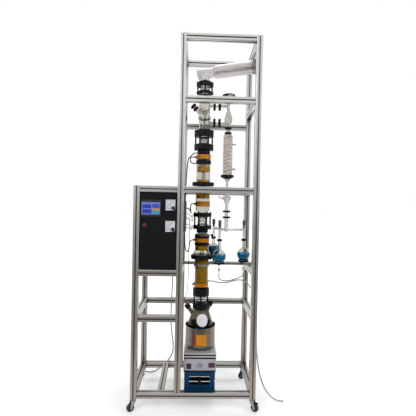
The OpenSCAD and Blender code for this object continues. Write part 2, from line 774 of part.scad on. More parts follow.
module column_glass() color([0.85, 0.9, 0.9, 0.4]) at_column() {
  low = couplings[0][3] + 1;
  high = couplings[1][0] - 36;
  difference() {
    union() {
      shell([
        [neck_r, c1_z], [neck_r, low], [glass_r, low + shoulder], [glass_r, cone_z[0] - 1],
        [cone_r, cone_z[0] + 4], [glass_r, cone_z[1]], [glass_r, high], [slim_r, high + 10], [slim_r, c2_z]
      ], glass_t);
      neck_bead(neck_r, couplings[0][2] - bead_h);
      neck_bead(slim_r, couplings[1][1]);
      translate([glass_r - glass_t / 2, 0, nipple_z]) rotate([0, 90, 0])
        cylinder(r = 5, h = nipple_x - glass_r + glass_t / 2);
    }
    translate([glass_r - glass_t - 2, 0, nipple_z]) rotate([0, 90, 0]) cylinder(r = 3, h = nipple_x);
  }
  start = couplings[1][3] + 1;
  end = couplings[2][0] - 35;
  shell([
    [slim_r, c2_z], [slim_r, start], [glass_r, start + shoulder],
    [glass_r, end], [slim_r, end + 5], [slim_r, c3_z]
  ], glass_t);
  neck_bead(slim_r, couplings[1][2] - bead_h);
  neck_bead(slim_r, couplings[2][1]);
  ring(core_r, core_r - thin_t, packing[0][0], packing[1][1]);
  ring(core_r, core_r - thin_t, packing[2][0], packing[4][1]);
}

// Packing beds inside the column, as lower and upper levels
packing = [
  [c1_z + 120, c1_z + 271], [c1_z + 338, c1_z + 372],
  [c2_z + 153, c2_z + 190], [c2_z + 262, c2_z + 279], [c2_z + 334, c2_z + 374]
];
bed_gap = 0.5;

module column_packing() color("goldenrod") at_column()
  for (bed = packing) ring(glass_r - glass_t - bed_gap, core_r + bed_gap, bed[0], bed[1]);

// Black rings on the column: lower level, upper level, radius and bore
column_rings = [
  [c1_z + 280, c1_z + 305, flange_r, glass_r], [c1_z + 372, c1_z + 387, glass_r + 4, glass_r],
  [c1_z + 421, c1_z + 433, glass_r + 4, glass_r], [c1_z + 434, c1_z + 445, glass_r + 2, glass_r],
  [c2_z - 77, c2_z - 54, slim_r + 9, slim_r], [c2_z + 237, c2_z + 262, flange_r, glass_r],
  [c2_z + 386, c2_z + 410, glass_r + 4, glass_r], [c3_z - 91, c3_z - 63, slim_r + 13, slim_r]
];

// Reflux head, with its side neck and two arms to the product line
head_low = couplings[2][3] + 1;
head_high = couplings[3][0] - 22;
arm_z = [c3_z + 123, c3_z + 238];
arm_r = 10;
arm_disc_x = [60, 95];
arm_disc_r = 30;
arm_disc_t = 15;
arm_join = 81;
spout_z = c3_z + 173;
spout_len = 94;

module at_spout() translate([-15, 0, spout_z]) rotate([0, -45, 0]) children();

// Arms from the column axis outwards to a radius
module head_arms(r, x0, x1)
  for (z = arm_z) translate([x0, 0, z]) rotate([0, 90, 0]) cylinder(r = r, h = x1 - x0);

module reflux_head() color([0.85, 0.9, 0.9, 0.4]) at_column() {
  outside = [
    [slim_r, c3_z], [slim_r, head_low], [head_r, head_low + 8],
    [head_r, head_high], [slim_r, head_high + 10], [slim_r, c4_z]
  ];
  difference() {
    union() {
      shell(outside, slim_r);
      head_arms(arm_r, 0, arm_join);
      at_spout() cylinder(r = side_r, h = spout_len);
      neck_bead(slim_r, couplings[2][2] - bead_h);
      neck_bead(slim_r, couplings[3][1]);
    }
    rotate_extrude() polygon(concat(
      [[0, c3_z - 1], [slim_r - glass_t, c3_z - 1]], [for (p = outside) [p[0] - glass_t, p[1]]],
      [[slim_r - glass_t, c4_z + 1], [0, c4_z + 1]]
    ));
    head_arms(arm_r - thin_t, 0, arm_join + 1);
    at_spout() cylinder(r = side_r - thin_t, h = spout_len + 1);
  }
  cone_top = arm_z[1] - 22;
  shell([[head_r - 1, cone_top], [9, cone_top - 48], [9, cone_top - 92]], thin_t);
}

// Tilted condenser over the column
condenser_x = -53;
condenser_z = c4_z + 96;
condenser_hold = (x_right - profile / 2 - col_x - condenser_x) / cos(condenser_tilt) - 5;
hold_w = 20;
condenser_len = condenser_hold + hold_w / 2;
step_at = 110;
inlet_r = 33;
inner_r = 15;

module at_condenser()
  translate([condenser_x, 0, condenser_z]) rotate([0, 90 - condenser_tilt, 0]) children();

module condenser_body(skin)
  at_condenser() rotate_extrude() polygon([
    [0, skin], [inlet_r - skin, skin], [inlet_r - skin, step_at], [condenser_r - skin, step_at + 20],
    [condenser_r - skin, condenser_len - skin], [0, condenser_len - skin]
  ]);

module vapour_condenser() color([0.85, 0.9, 0.9, 0.4]) at_column() {
  difference() {
    union() {
      condenser_body(0);
      translate([0, 0, c4_z]) cylinder(r = slim_r, h = condenser_z - c4_z);
      neck_bead(slim_r, couplings[3][2] - bead_h);
    }
    condenser_body(glass_t);
    translate([0, 0, c4_z - 1]) cylinder(r = slim_r - glass_t, h = condenser_z - c4_z + 1);
  }
  at_condenser() ring(inner_r, inner_r - thin_t, step_at, condenser_len - 1);
}

// Product line: tube and bulb, upright condenser with an inner coil, receivers below
line_x = col_x + line_gap;
line_top = c4_z - 31;
bulb_z = [arm_z[0] - 10, arm_z[1] - 28];
bulb_r = 27;
bulb_low = 0.65;
jacket_z = [c3_z - 227, c3_z + 42];
line_end = third_z + profile + 6;
stem_r = 8;

module at_line() translate([line_x, col_y, 0]) children();

module product_condenser() color([0.85, 0.9, 0.9, 0.4]) at_line() {
  bulb_steps = 12;
  bulb_h = bulb_z[1] - bulb_z[0];
  bulb = [for (i = [0 : bulb_steps])
    let (up = i / bulb_steps)
    [arm_r + (bulb_r - arm_r) * sin(180 * pow(up, bulb_low)), bulb_z[0] + bulb_h * up]];
  joint = [
    [12, jacket_z[1] - glass_t / 2], [12, jacket_z[1]], [16, jacket_z[1] + 6],
    [16, bulb_z[0] - 16], [13, bulb_z[0] - 10]
  ];
  drip = [
    [stem_r, line_end], [stem_r, jacket_z[0] - 47], [20, jacket_z[0] - 28],
    [12, jacket_z[0] - 26], [12, jacket_z[0] + 1]
  ];
  difference() {
    union() {
      shell(concat(joint, bulb, [[arm_r, line_top]]), thin_t);
      difference() {
        translate([arm_join - line_gap, 0, 0]) head_arms(arm_r, 0, line_gap - arm_join);
        translate([arm_join - line_gap, 0, 0]) head_arms(arm_r - thin_t, -1, line_gap - arm_join + 1);
        translate([0, 0, bulb_z[0]]) cylinder(r = arm_r - 1, h = line_top - bulb_z[0]);
        rotate_extrude()
          polygon(concat([[0, bulb_z[0]]], [for (p = bulb) [p[0] - thin_t, p[1]]], [[0, bulb_z[1]]]));
      }
    }
    translate([arm_join - line_gap, 0, 0]) head_arms(arm_r - thin_t, -1, line_gap - arm_join);
  }
  ring(jacket_r, jacket_r - glass_t, jacket_z[0], jacket_z[1]);
  for (z = [jacket_z[0], jacket_z[1] - glass_t])
    translate([0, 0, z]) cylinder(r = jacket_r - 1, h = glass_t);
  for (z = [jacket_z[0] + 40, jacket_z[1] - 61])
    translate([jacket_r - 1, 0, z]) rotate([0, 90, 0]) ring(5, 3, 0, 26);
  shell(drip, thin_t);
}

// Route of a helix that rises between two end discs, with straight ends
coil_rings = 8;
coil_lead = 2 * coil_tube_r;
coil_z = [jacket_z[0] + glass_t, jacket_z[1] - glass_t];
coil_rise = (coil_z[1] - coil_z[0] - 2 * coil_lead) / coil_turns;
coil_route = concat(
  [[coil_r, 0, coil_z[0]]],
  [for (i = [0 : coil_rings * coil_turns])
    let (turn = i / coil_rings)
    [coil_r * cos(360 * turn), coil_r * sin(360 * turn), coil_z[0] + coil_lead + coil_rise * turn]],
  [[coil_r * cos(360 * coil_turns), coil_r * sin(360 * coil_turns), coil_z[1]]]
);
echo(coil_least_gap = coil_rise - 2 * coil_tube_r);

module condenser_coil() color([0.8, 0.85, 0.85, 0.6]) at_line() tube(coil_route, coil_tube_r, 6);

// Tube swept along a route: its section is carried from point to point without twisting
function unit(v) = v / norm(v);
function heading(p, i) = unit(p[min(i + 1, len(p) - 1)] - p[max(i - 1, 0)]);
function square_to(v, t) = unit(v - (v * t) * t);
function first_side(t) = square_to(abs(t[2]) < 0.9 ? [0, 0, 1] : [1, 0, 0], t);
function sides_of(p, i, last) =
  i == len(p) ? [] : let (s = square_to(last, heading(p, i))) concat([s], sides_of(p, i + 1, s));

module tube(p, r, n) {
  side = sides_of(p, 0, first_side(heading(p, 0)));
  points = [for (i = [0 : len(p) - 1], k = [0 : n - 1])
    p[i] + r * (cos(360 * k / n) * side[i] + sin(360 * k / n) * cross(heading(p, i), side[i]))];
  last = (len(p) - 1) * n;
  faces = concat(
    [[for (k = [0 : n - 1]) k]],
    [for (i = [0 : len(p) - 2], k = [0 : n - 1])
      let (a = i * n + k, b = i * n + (k + 1) % n)
      each [[a, a + n, b], [a + n, b + n, b]]],
    [[for (k = [n - 1 : -1 : 0]) last + k]]
  );
  polyhedron(points, faces, convexity = 8);
}

// Receivers: place from the product line, and height of the centre
post_clear = 33;
right_off = x_right - profile - post_clear - line_x;
receivers = [[-46, -40, c1_z + 302], [right_off, 15, c1_z + 311], [-78, 135, c1_z + 326]];
fill = [14, 12, 26];
hub_z = c1_z + 479;
funnel_z = [c2_z + 112, c2_z + 180];
joint_z = [c2_z + 22, c2_z + 74];
spigot_z = hub_z - 60;
branch_r = 8;
riser_r = 9;
riser_top = hub_z + 30;
key_r = 6;
drain_z = c1_z + 212;
drain_end = c1_z + 180;
barrel_r = 7;
plug_r = 4.5;

module at_receiver(i) translate([line_x + receivers[i][0], col_y + receivers[i][1], 0]) children();

module branches(r)
  for (p = receivers)
    translate([0, 0, hub_z]) rotate(atan2(p[1], p[0])) rotate([0, 90, 0])
      cylinder(r = r, h = norm([p[0], p[1]]));

module receiver_manifold() color([0.85, 0.9, 0.9, 0.4]) difference() {
  union() {
    at_line() {
      rotate_extrude() polygon([
        [0, hub_z], [12, hub_z + 4], [12, joint_z[1] + 4], [10, funnel_z[0]], [27, funnel_z[0] + 50],
        [27, funnel_z[1] - 12], [stem_r, funnel_z[1]], [stem_r, line_end], [0, line_end]
      ]);
      translate([0, 0, funnel_z[0] + 30]) rotate([0, -65, 0]) cylinder(r = 6, h = 62);
      translate([0, 0, hub_z]) sphere(r = 16);
      branches(branch_r);
    }
    for (i = [0 : 2]) at_receiver(i)
      translate([0, 0, spigot_z]) cylinder(r = riser_r, h = riser_top - spigot_z);
  }
  at_line() {
    rotate_extrude() polygon([
      [0, hub_z], [10, hub_z + 5], [10, joint_z[1] + 4], [8, funnel_z[0]], [25, funnel_z[0] + 50],
      [25, funnel_z[1] - 13], [stem_r - thin_t, funnel_z[1]],
      [stem_r - thin_t, line_end + 1], [0, line_end + 1]
    ]);
    translate([0, 0, funnel_z[0] + 30]) rotate([0, -65, 0]) cylinder(r = 4, h = 63);
    translate([0, 0, hub_z]) sphere(r = 14);
    branches(branch_r - thin_t);
  }
  for (i = [0 : 2]) at_receiver(i)
    translate([0, 0, spigot_z - 1]) cylinder(r = key_r + shaft_gap, h = riser_top - spigot_z + 2);
}

// Valve key on top of a branch, turned about the upright axis
module valve_key(i) color("dimgray") at_receiver(i) {
  grip_r = 10;
  translate([0, 0, hub_z + 12]) cylinder(r = key_r, h = riser_top - hub_z - 10);
  difference() {
    translate([0, 0, riser_top + 0.5]) cylinder(r = grip_r, h = 34);
    for (turn = [0 : 45 : 315])
      rotate(turn) translate([grip_r + 0.8, 0, riser_top + 6]) cylinder(r = 2.2, h = 30);
  }
}

module valve_key_1() valve_key(0);
module valve_key_2() valve_key(1);
module valve_key_3() valve_key(2);

module receiver_flask(i) at_receiver(i) {
  z = receivers[i][2];
  tapped = i < 2;
  difference() {
    union() {
      translate([0, 0, z]) sphere(r = receiver_r);
      translate([0, 0, z]) cylinder(r = 12, h = spigot_z - z);
      if (tapped) {
        translate([0, 0, drain_end]) cylinder(r = 5, h = z - receiver_r - drain_end + 3);
        translate([0, 0, drain_z]) rotate([90, 0, 0]) cylinder(r = barrel_r, h = 28, center = true);
      }
    }
    translate([0, 0, z]) sphere(r = receiver_r - thin_t);
    translate([0, 0, z]) cylinder(r = 10, h = spigot_z - z + 1);
    if (tapped) {
      translate([0, 0, drain_end - 1]) cylinder(r = 3, h = 10);
      translate([0, 0, drain_z]) rotate([90, 0, 0]) cylinder(r = plug_r + shaft_gap, h = 30, center = true);
    }
  }
}

module receiver_flasks() color([0.85, 0.9, 0.9, 0.4]) for (i = [0 : 2]) receiver_flask(i);

module receiver_liquid() color("deepskyblue")
  for (i = [0 : 2]) at_receiver(i) intersection() {
    r = receiver_r - thin_t - seat_gap;
    translate([0, 0, receivers[i][2]]) sphere(r = r);
    translate([-r, -r, receivers[i][2] - r]) cube([2 * r, 2 * r, r + fill[i]]);
  }

// Drain key: a plug across the barrel with a handle at the front
module drain_key(i) color("whitesmoke") at_receiver(i) translate([0, 0, drain_z]) rotate([90, 0, 0]) {
  handle = 15;
  translate([0, 0, -15]) cylinder(r = plug_r, h = 36);
  translate([0, 0, -18]) cylinder(r = plug_r + 2, h = 3.5);
  translate([-handle, -3.5, 17]) cube([2 * handle, 7, 6]);
  for (x = [-handle, handle]) translate([x, 0, 17]) cylinder(r = 3.5, h = 6);
}

module drain_key_1() drain_key(0);
module drain_key_2() drain_key(1);

// Support ring under a receiver, with an arm to the bar
cradle_r = 24;
cradle_w = 12;

module flask_ring(i) at_receiver(i) {
  top = receivers[i][2] - sqrt(receiver_r * receiver_r - cradle_r * cradle_r) - seat_gap;
  behind = col_y + receivers[i][1] > bar_y;
  reach = behind ? bar_y + profile : bar_y;
  dy = reach - col_y - receivers[i][1];
  toward = sign(dy);
  soft_ring(cradle_r + cradle_w, cradle_r, top - 12, top, 2);
  translate([-6, toward > 0 ? cradle_r + 2 : dy, bar_z + 6])
    cube([12, abs(dy) - cradle_r - 2, top - 4 - bar_z - 6]);
}

spout_ring = 14;
screw_band = c1_z + 439.5;

// Black fittings of the glass: rings, flange discs, caps, joint clips and the screw of the band ring
module column_fittings() color("black") {
  at_column() {
    for (f = column_rings) soft_ring(f[2], f[3] + seat_gap, f[0], f[1], 2);
    for (x = arm_disc_x, z = arm_z)
      translate([x, 0, z]) rotate([0, 90, 0]) soft_ring(arm_disc_r, arm_r + seat_gap, 0, arm_disc_t, 1.5);
    at_spout() for (end = [40, 16])
      soft_ring(side_r + 7, side_r + seat_gap, spout_len - end, spout_len - end + spout_ring, 2);
    translate([glass_r + 1, 0, screw_band]) rotate([0, 90, 0]) {
      cylinder(r = 3, h = 16);
      translate([0, 0, 12]) soft_ring(9, 2.5, 0, 14, 2);
    }
  }
  for (i = [0, 1]) at_side_neck(i) difference() {
    translate([0, 0, side_len - cap_grip]) cylinder(r = side_r + 4, h = cap_grip + 6);
    translate([0, 0, side_len - cap_grip - 1]) cylinder(r = side_r + seat_gap, h = cap_grip + 1);
  }
  at_line() {
    soft_ring(43, arm_r + seat_gap, line_top - 12, line_top - 2, 2);
    foot_bore = 12 + seat_gap;
    rotate_extrude() polygon([
      [foot_bore, jacket_z[0] - 26], [24, jacket_z[0] - 26], [45, jacket_z[0] - 14], [45, jacket_z[0] - 3],
      [42, jacket_z[0] - seat_gap], [foot_bore, jacket_z[0] - seat_gap]
    ]);
    for (z = [jacket_z[1] + 7, bulb_z[0] - 30]) soft_ring(24, 16 + seat_gap, z, z + 13, 2);
    for (z = [joint_z[0], joint_z[1] - 12]) soft_ring(26, 12 + seat_gap, z, z + 12, 2);
  }
  for (i = [0 : 2]) at_receiver(i) soft_ring(17, 12 + seat_gap, spigot_z - 16, spigot_z - 2, 2);
}

// Heater bands round the column, each with a terminal at the left
band_t = 2;
bands = [
  [c1_z + 93, c1_z + 117], [c1_z + 393, c1_z + 419], [c2_z + 99, c2_z + 133], [c2_z + 417, c2_z + 447]
];
terminal = [12, 12, 14];
terminal_x = glass_r + seat_gap + band_t - 0.5;

module heater_bands() color("darkorange") at_column()
  for (b = bands) {
    ring(glass_r + seat_gap + band_t, glass_r + seat_gap, b[0], b[1]);
    translate([-terminal_x - terminal[0], -terminal[1] / 2, (b[0] + b[1] - terminal[2]) / 2])
      cube(terminal);
  }

// Clamps and rings that carry the glass from the rails and the bar
clamp_rod_r = 6;
foot_t = 8;
clamp_w = 6;

// Ring round an upright tube with a rod along Y to a foot on a rail
module clamp_to(x, r, z, h, y_rail, drop = 0) {
  toward = y_rail > col_y ? 1 : -1;
  span = abs(y_rail - col_y) - r - clamp_w / 2;
  translate([x, col_y, 0]) {
    ring(r + seat_gap + clamp_w, r + seat_gap, z - h / 2, z + h / 2);
    translate([0, toward * (r + clamp_w / 2 + 1), z]) rotate([-90 * toward, 0, 0])
      cylinder(r = clamp_rod_r, h = span - 2);
    translate([-15, toward > 0 ? y_rail - col_y - foot_t : y_rail - col_y, z - 15 - drop])
      cube([30, foot_t, 30 + drop]);
  }
}

module support_clamps() color("dimgray") {
  for (i = [0 : 2]) flask_ring(i);
  clamp_to(col_x, glass_r, third_z + profile / 2, 16, y_in_front);
  clamp_to(line_x, stem_r, third_z + profile / 2, 14, y_in_front);
  clamp_to(line_x, arm_r, arm_z[1] + 28, 14, y_in_front, 20);
  clamp_to(col_x, head_r, head_back_z + 18, 14, y_in_back);
  at_column() difference() {
    union() {
      ring(glass_r + seat_gap + clamp_w, glass_r + seat_gap, bar_z + 2, bar_z + 18);
      translate([-12, glass_r + 3, bar_z + 2]) cube([24, bar_gap - glass_r - 3, 16]);
    }
    translate([0, 0, bar_z]) cylinder(r = glass_r + seat_gap, h = 40);
  }
  post_x = x_right - profile;
  at_column() at_condenser() {
    ring(condenser_r + seat_gap + clamp_w, condenser_r + seat_gap, condenser_len - hold_w, condenser_len);
    rod_end = y_in_front + foot_t - col_y;
    translate([0, rod_end - 1, condenser_hold]) rotate([-90, 0, 0])
      cylinder(r = clamp_rod_r, h = -condenser_r - clamp_w / 2 - rod_end);
  }
  translate([post_x + 5, y_in_front, condenser_z + (condenser_hold + 8) * sin(condenser_tilt) - 25])
    cube([30, foot_t, 40]);
}

// Terminal strip on the inner face of the middle front post
strip = [18, 30, 190];
strip_z = c2_z - 59;

module terminal_strip() color("dimgray")
  translate([x_mid + profile, y_front + 5, strip_z]) difference() {
    cube(strip);
    for (z = [16 : 22 : strip[2] - 16]) translate([strip[0] - 3, 4, z]) cube([4, strip[1] - 8, 12]);
  }

// Free cords: routes in round millimetres
mains_route = [
  [-175, 240, 930], [-175, 256, 929], [-175, 272, 920], [-175, 282, 902], [-175, 286, 878],
  [-176, 284, 840], [-177, 276, 770], [-179, 266, 680], [-181, 258, 590], [-183, 250, 490],
  [-181, 244, 400], [-171, 239, 310], [-161, 235, 240], [-164, 233, 185], [-184, 232, 140],
  [-215, 233, 102], [-248, 240, 68], [-280, 252, 37], [-309, 264, 16], [-336, 273, 8],
  [-366, 278, 9], [-395, 280, 11]
];
drain_route = [
  [106, -60, 800], [124, -60, 799], [152, -55, 792], [187, -43, 786], [226, -28, 786],
  [266, -14, 793], [304, -4, 798], [340, -1, 791], [370, -8, 770], [394, -24, 736],
  [409, -44, 690], [417, -62, 630], [420, -78, 560], [421, -90, 470], [421, -97, 390],
  [427, -101, 300], [440, -104, 215], [460, -106, 140], [486, -108, 84], [518, -109, 42],
  [552, -110, 16], [586, -110, 6], [610, -110, 5]
];
receiver_route = [
  [157, -100, 854], [157, -100, 840], [163, -98, 824], [181, -93, 813], [206, -85, 809],
  [236, -75, 810], [266, -65, 816], [295, -55, 824], [318, -48, 834], [327, -45, 846],
  [327, -45, 854]
];
upper_route = [
  [-74, -205, 1340], [-74, -204, 1352], [-74, -196, 1366], [-74, -184, 1376], [-74, -175, 1392],
  [-73, -172, 1422], [-72, -166, 1470], [-70, -150, 1520], [-68, -128, 1564], [-65, -102, 1600],
  [-61, -78, 1626], [-54, -64, 1639], [-40, -60, 1641], [-21, -60, 1641]
];
middle_route = [
  [-65, -204, 1295], [-54, -204, 1295], [-44, -199, 1285], [-38, -186, 1272], [-36, -168, 1265],
  [-37, -146, 1266], [-39, -122, 1275], [-41, -98, 1292], [-41, -78, 1310], [-37, -65, 1322],
  [-29, -60, 1325], [-21, -60, 1325]
];
lower_route = [
  [-74, -205, 1150], [-74, -205, 1134], [-73, -200, 1100], [-71, -188, 1062], [-67, -168, 1030],
  [-61, -142, 1012], [-54, -114, 1008], [-48, -88, 1020], [-44, -68, 1046], [-37, -60, 1074],
  [-21, -60, 1080]
];
probe_route = [
  [-65, -206, 1229], [-52, -206, 1226], [-44, -196, 1206], [-43, -174, 1160], [-44, -146, 1090],
  [-46, -116, 1000], [-47, -92, 900], [-49, -76, 810], [-54, -66, 740], [-62, -61, 700],
  [-68, -60, 670], [-58, -60, 640]
];
mains_r = 4;
hose_r = 4.5;
small_hose_r = 4;
lead_r = 3.5;
probe_r = 2;

module mains_lead() color("lightgray") tube(mains_route, mains_r, 8);
module drain_hose() color("gainsboro") tube(drain_route, hose_r, 8);
module receiver_hose() color("gainsboro") tube(receiver_route, small_hose_r, 8);
module heater_lead_upper() color("black") tube(upper_route, lead_r, 8);
module heater_lead_middle() color("black") tube(middle_route, lead_r, 8);
module heater_lead_lower() color("black") tube(lower_route, lead_r, 8);
module probe_lead() color("gray") tube(probe_route, probe_r, 8);

// Plug on the floor at the end of the mains lead
module mains_plug() color("lightgray") {
  tip = mains_route[len(mains_route) - 1];
  body_r = 11;
  pin_gap = 19;
  translate(tip) rotate([0, -90, 0]) difference() {
    union() {
      rotate_extrude() polygon([[0, 0], [5, 0], [6.5, 22], [9, 24], [body_r, 34], [body_r, 48], [0, 48]]);
      for (y = [-pin_gap / 2, pin_gap / 2]) translate([0, y, 40]) cylinder(r = 2.4, h = 27);
      translate([-body_r + 1, -15, 40]) cube([2 * body_r - 2, 30, 8]);
    }
    translate([-body_r - 10, -20, -1]) cube([10, 40, 70]);
  }
}

posts();
lower_rails();
upper_rails();
castor_plates();
castor_fork(0, false);  // castor_fork_1
castor_fork(1, true);  // castor_fork_2
castor_fork(2, false);  // castor_fork_3
castor_fork(3, false);  // castor_fork_4
castor_wheel(0);  // castor_wheel_1
castor_wheel(1);  // castor_wheel_2
castor_wheel(2);  // castor_wheel_3
castor_wheel(3);  // castor_wheel_4
castor_brake();
cabinet_housing();
cabinet_panel();
touch_screen();
panel_bezels();
meter_needle_1();
meter_needle_2();
stop_button();
jack_base();
jack_platform();
jack_arms_outer();
jack_arms_inner();
jack_screw();
stirrer_housing();
hot_plate();
stirrer_knob();
rocker_left();
rocker_right();
bath_pot();
boiling_flask();
column_glass();
column_packing();
column_fittings();
heater_bands();
coupling_collars();
tie_rods();
reflux_head();
vapour_condenser();
support_clamps();
product_condenser();
condenser_coil();
receiver_manifold();
valve_key_1();
valve_key_2();
valve_key_3();
receiver_flasks();
receiver_liquid();
drain_key_1();
drain_key_2();
terminal_strip();
mains_lead();
mains_plug();
drain_hose();
receiver_hose();
heater_lead_upper();
heater_lead_middle();
heater_lead_lower();
probe_lead();
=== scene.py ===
import json
import math

import bmesh
import bpy
from mathutils import Matrix, Vector

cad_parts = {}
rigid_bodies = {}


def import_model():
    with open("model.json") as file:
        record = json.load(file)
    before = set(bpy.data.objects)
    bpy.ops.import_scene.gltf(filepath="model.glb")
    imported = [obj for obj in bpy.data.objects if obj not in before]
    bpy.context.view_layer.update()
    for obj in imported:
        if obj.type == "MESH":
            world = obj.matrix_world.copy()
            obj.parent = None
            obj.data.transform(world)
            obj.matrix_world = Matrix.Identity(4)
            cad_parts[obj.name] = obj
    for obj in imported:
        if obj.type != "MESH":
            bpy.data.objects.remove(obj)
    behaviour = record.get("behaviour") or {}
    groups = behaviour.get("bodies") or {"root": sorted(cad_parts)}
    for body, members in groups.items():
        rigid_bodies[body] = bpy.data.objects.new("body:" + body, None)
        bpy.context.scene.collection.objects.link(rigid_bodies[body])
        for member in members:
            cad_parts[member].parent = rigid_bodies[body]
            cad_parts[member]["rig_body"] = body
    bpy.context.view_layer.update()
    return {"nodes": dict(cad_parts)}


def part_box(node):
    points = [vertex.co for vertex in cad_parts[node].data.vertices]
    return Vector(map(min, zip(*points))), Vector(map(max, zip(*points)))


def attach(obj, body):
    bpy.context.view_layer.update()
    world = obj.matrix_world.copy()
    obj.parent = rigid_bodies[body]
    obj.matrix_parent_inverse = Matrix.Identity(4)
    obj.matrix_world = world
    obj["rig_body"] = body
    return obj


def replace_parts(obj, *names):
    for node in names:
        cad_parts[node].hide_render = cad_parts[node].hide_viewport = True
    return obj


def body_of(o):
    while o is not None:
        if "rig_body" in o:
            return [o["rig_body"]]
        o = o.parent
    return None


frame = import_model()
nodes = frame["nodes"]
MM = 0.001


# Camera: eye point in mm, turn to the right, tilt up and roll in degrees, and the focal length in
# pixels of the square frame
EYE = (3, -2369, 1325)
TURN, TILT, ROLL = 1.82, -0.67, 1.16
FOCAL_PX = 339.4
FRAME_PX = 416
SENSOR_MM = 36
CLIP_M = 60


def set_camera():
    """The photograph's camera, built from its three axes."""
    turn, tilt, roll = (math.radians(a) for a in (TURN, TILT, ROLL))
    ahead = Vector((math.sin(turn) * math.cos(tilt), math.cos(turn) * math.cos(tilt), math.sin(tilt)))
    level = Vector((math.cos(turn), -math.sin(turn), 0))
    above = level.cross(ahead)
    right = level * math.cos(roll) + above * math.sin(roll)
    up = above * math.cos(roll) - level * math.sin(roll)
    bpy.ops.object.camera_add()
    camera = bpy.context.object
    camera.name = "photo_camera"
    camera.data.sensor_width = SENSOR_MM
    camera.data.lens = SENSOR_MM * FOCAL_PX / FRAME_PX
    camera.data.clip_end = CLIP_M
    place = Matrix((right, up, -ahead)).transposed().to_4x4()
    place.translation = Vector(EYE) * MM
    camera.matrix_world = place
    bpy.context.scene.camera = camera


set_camera()


# Colours and material nodes
def srgb(code):
    """An sRGB hex colour as linear RGBA."""
    shares = [int(code[i:i + 2], 16) / 255 for i in (1, 3, 5)]
    return [s / 12.92 if s <= 0.04045 else ((s + 0.055) / 1.055) ** 2.4 for s in shares] + [1.0]


def put(tree, kind, settings, links=()):
    """Adds one node.

    Settings are sockets or properties by name, links are pairs of input name and output socket.
    """
    node = tree.nodes.new(kind)
    for name, value in settings.items():
        if isinstance(name, int) or name in node.inputs:
            node.inputs[name].default_value = value
        else:
            setattr(node, name, value)
    for name, socket in links:
        tree.links.new(socket, node.inputs[name])
    return node


def start(name, metallic, roughness, ior=1.5, gloss=0.5):
    """A material with its shader and Object coordinates."""
    material = bpy.data.materials.new(name)
    material.use_nodes = True
    tree = material.node_tree
    shader = tree.nodes["Principled BSDF"]
    shader.inputs["Metallic"].default_value = metallic
    shader.inputs["Roughness"].default_value = roughness
    shader.inputs["Specular IOR Level"].default_value = gloss
    if metallic < 0.5:
        shader.inputs["IOR"].default_value = ior
    where = put(tree, "ShaderNodeTexCoord", {}).outputs["Object"]
    return material, tree, shader, where


RELIEF_MM = 0.05


def mottle(tree, shader, where, low, high, grain_mm, stretch=(1, 1, 1), bump=0.0, shine=None):
    """Colour that wanders between two tones over grains of a real size.

    It can have a shallow relief and an uneven shine.
    """
    spread = put(tree, "ShaderNodeMapping", {"Scale": stretch}, [("Vector", where)])
    noise = put(tree, "ShaderNodeTexNoise", {"Scale": 1 / (grain_mm * MM), "Detail": 3.0},
                [("Vector", spread.outputs[0])])
    ramp = put(tree, "ShaderNodeValToRGB", {}, [("Fac", noise.outputs["Fac"])])
    ramp.color_ramp.elements[0].position = 0.35
    ramp.color_ramp.elements[0].color = srgb(low)
    ramp.color_ramp.elements[1].position = 0.65
    ramp.color_ramp.elements[1].color = srgb(high)
    tree.links.new(ramp.outputs["Color"], shader.inputs["Base Color"])
    if shine:
        spots = put(tree, "ShaderNodeMapRange", {"To Min": shine[0], "To Max": shine[1]},
                    [("Value", noise.outputs["Fac"])])
        tree.links.new(spots.outputs["Result"], shader.inputs["Roughness"])
    if bump:
        relief = put(tree, "ShaderNodeBump", {"Strength": bump, "Distance": RELIEF_MM * MM},
                     [("Height", noise.outputs["Fac"])])
        tree.links.new(relief.outputs["Normal"], shader.inputs["Normal"])
    return noise


# In mm: reach of the painted shade in the profiles' slots, and heights where the painted shade towards
# the floor is darkest and gone
SLOT_SHADE_REACH = 14
LOW_SHADE_Z = (150, 650)


def profile_aluminium(name, along, low_shade_tone):
    """Extruded and anodised: grey satin metal with faint draw lines along it, drawn coarse to show.

    Ambient occlusion darkens its slots and the joints between parts as painted shade, and it is darker
    towards the castors, painted shade where less light falls.
    """
    material, tree, shader, where = start(name, 1.0, 0.34)
    mottle(tree, shader, where, "#C5C4C2", "#D2D1CF", 4, stretch=along, bump=0.12, shine=(0.24, 0.4))
    tone = tree.nodes["Color Ramp"].outputs["Color"]
    # Painted shade: ambient occlusion darkens the colour in the slots and where parts meet
    slot_shade = put(tree, "ShaderNodeAmbientOcclusion", {"samples": 8, "Distance": SLOT_SHADE_REACH * MM})
    depth = put(tree, "ShaderNodeMath", {"operation": "POWER", 1: 1.5}, [(0, slot_shade.outputs["AO"])])
    slot_shaded = put(tree, "ShaderNodeMix", {"data_type": "RGBA", "blend_type": "MULTIPLY"},
               [(6, tone), (7, depth.outputs[0])])
    slot_shaded.inputs[0].default_value = 1.0
    # Painted shade: the colour darkens towards the floor, where less light falls
    height = put(tree, "ShaderNodeSeparateXYZ", {}, [("Vector", where)])
    low_shade = put(tree, "ShaderNodeMapRange",
               {"From Min": LOW_SHADE_Z[0] * MM, "From Max": LOW_SHADE_Z[1] * MM, "To Min": 1.0, "To Max": 0.0},
               [("Value", height.outputs["Z"])])
    low_shaded = put(tree, "ShaderNodeMix", {"data_type": "RGBA", "blend_type": "MULTIPLY"},
                [(0, low_shade.outputs["Result"]), (6, slot_shaded.outputs[2])])
    low_shaded.inputs[7].default_value = srgb(low_shade_tone)
    tree.links.new(low_shaded.outputs[2], shader.inputs["Base Color"])
    return material


def zinc_plated_steel():
    """Pressed and zinc plated: bright grey steel with a cloudy crystal."""
    material, tree, shader, where = start("zinc_plated_steel", 1.0, 0.38)
    mottle(tree, shader, where, "#8D8D8C", "#A6A6A4", 4, bump=0.1, shine=(0.3, 0.46))
    return material


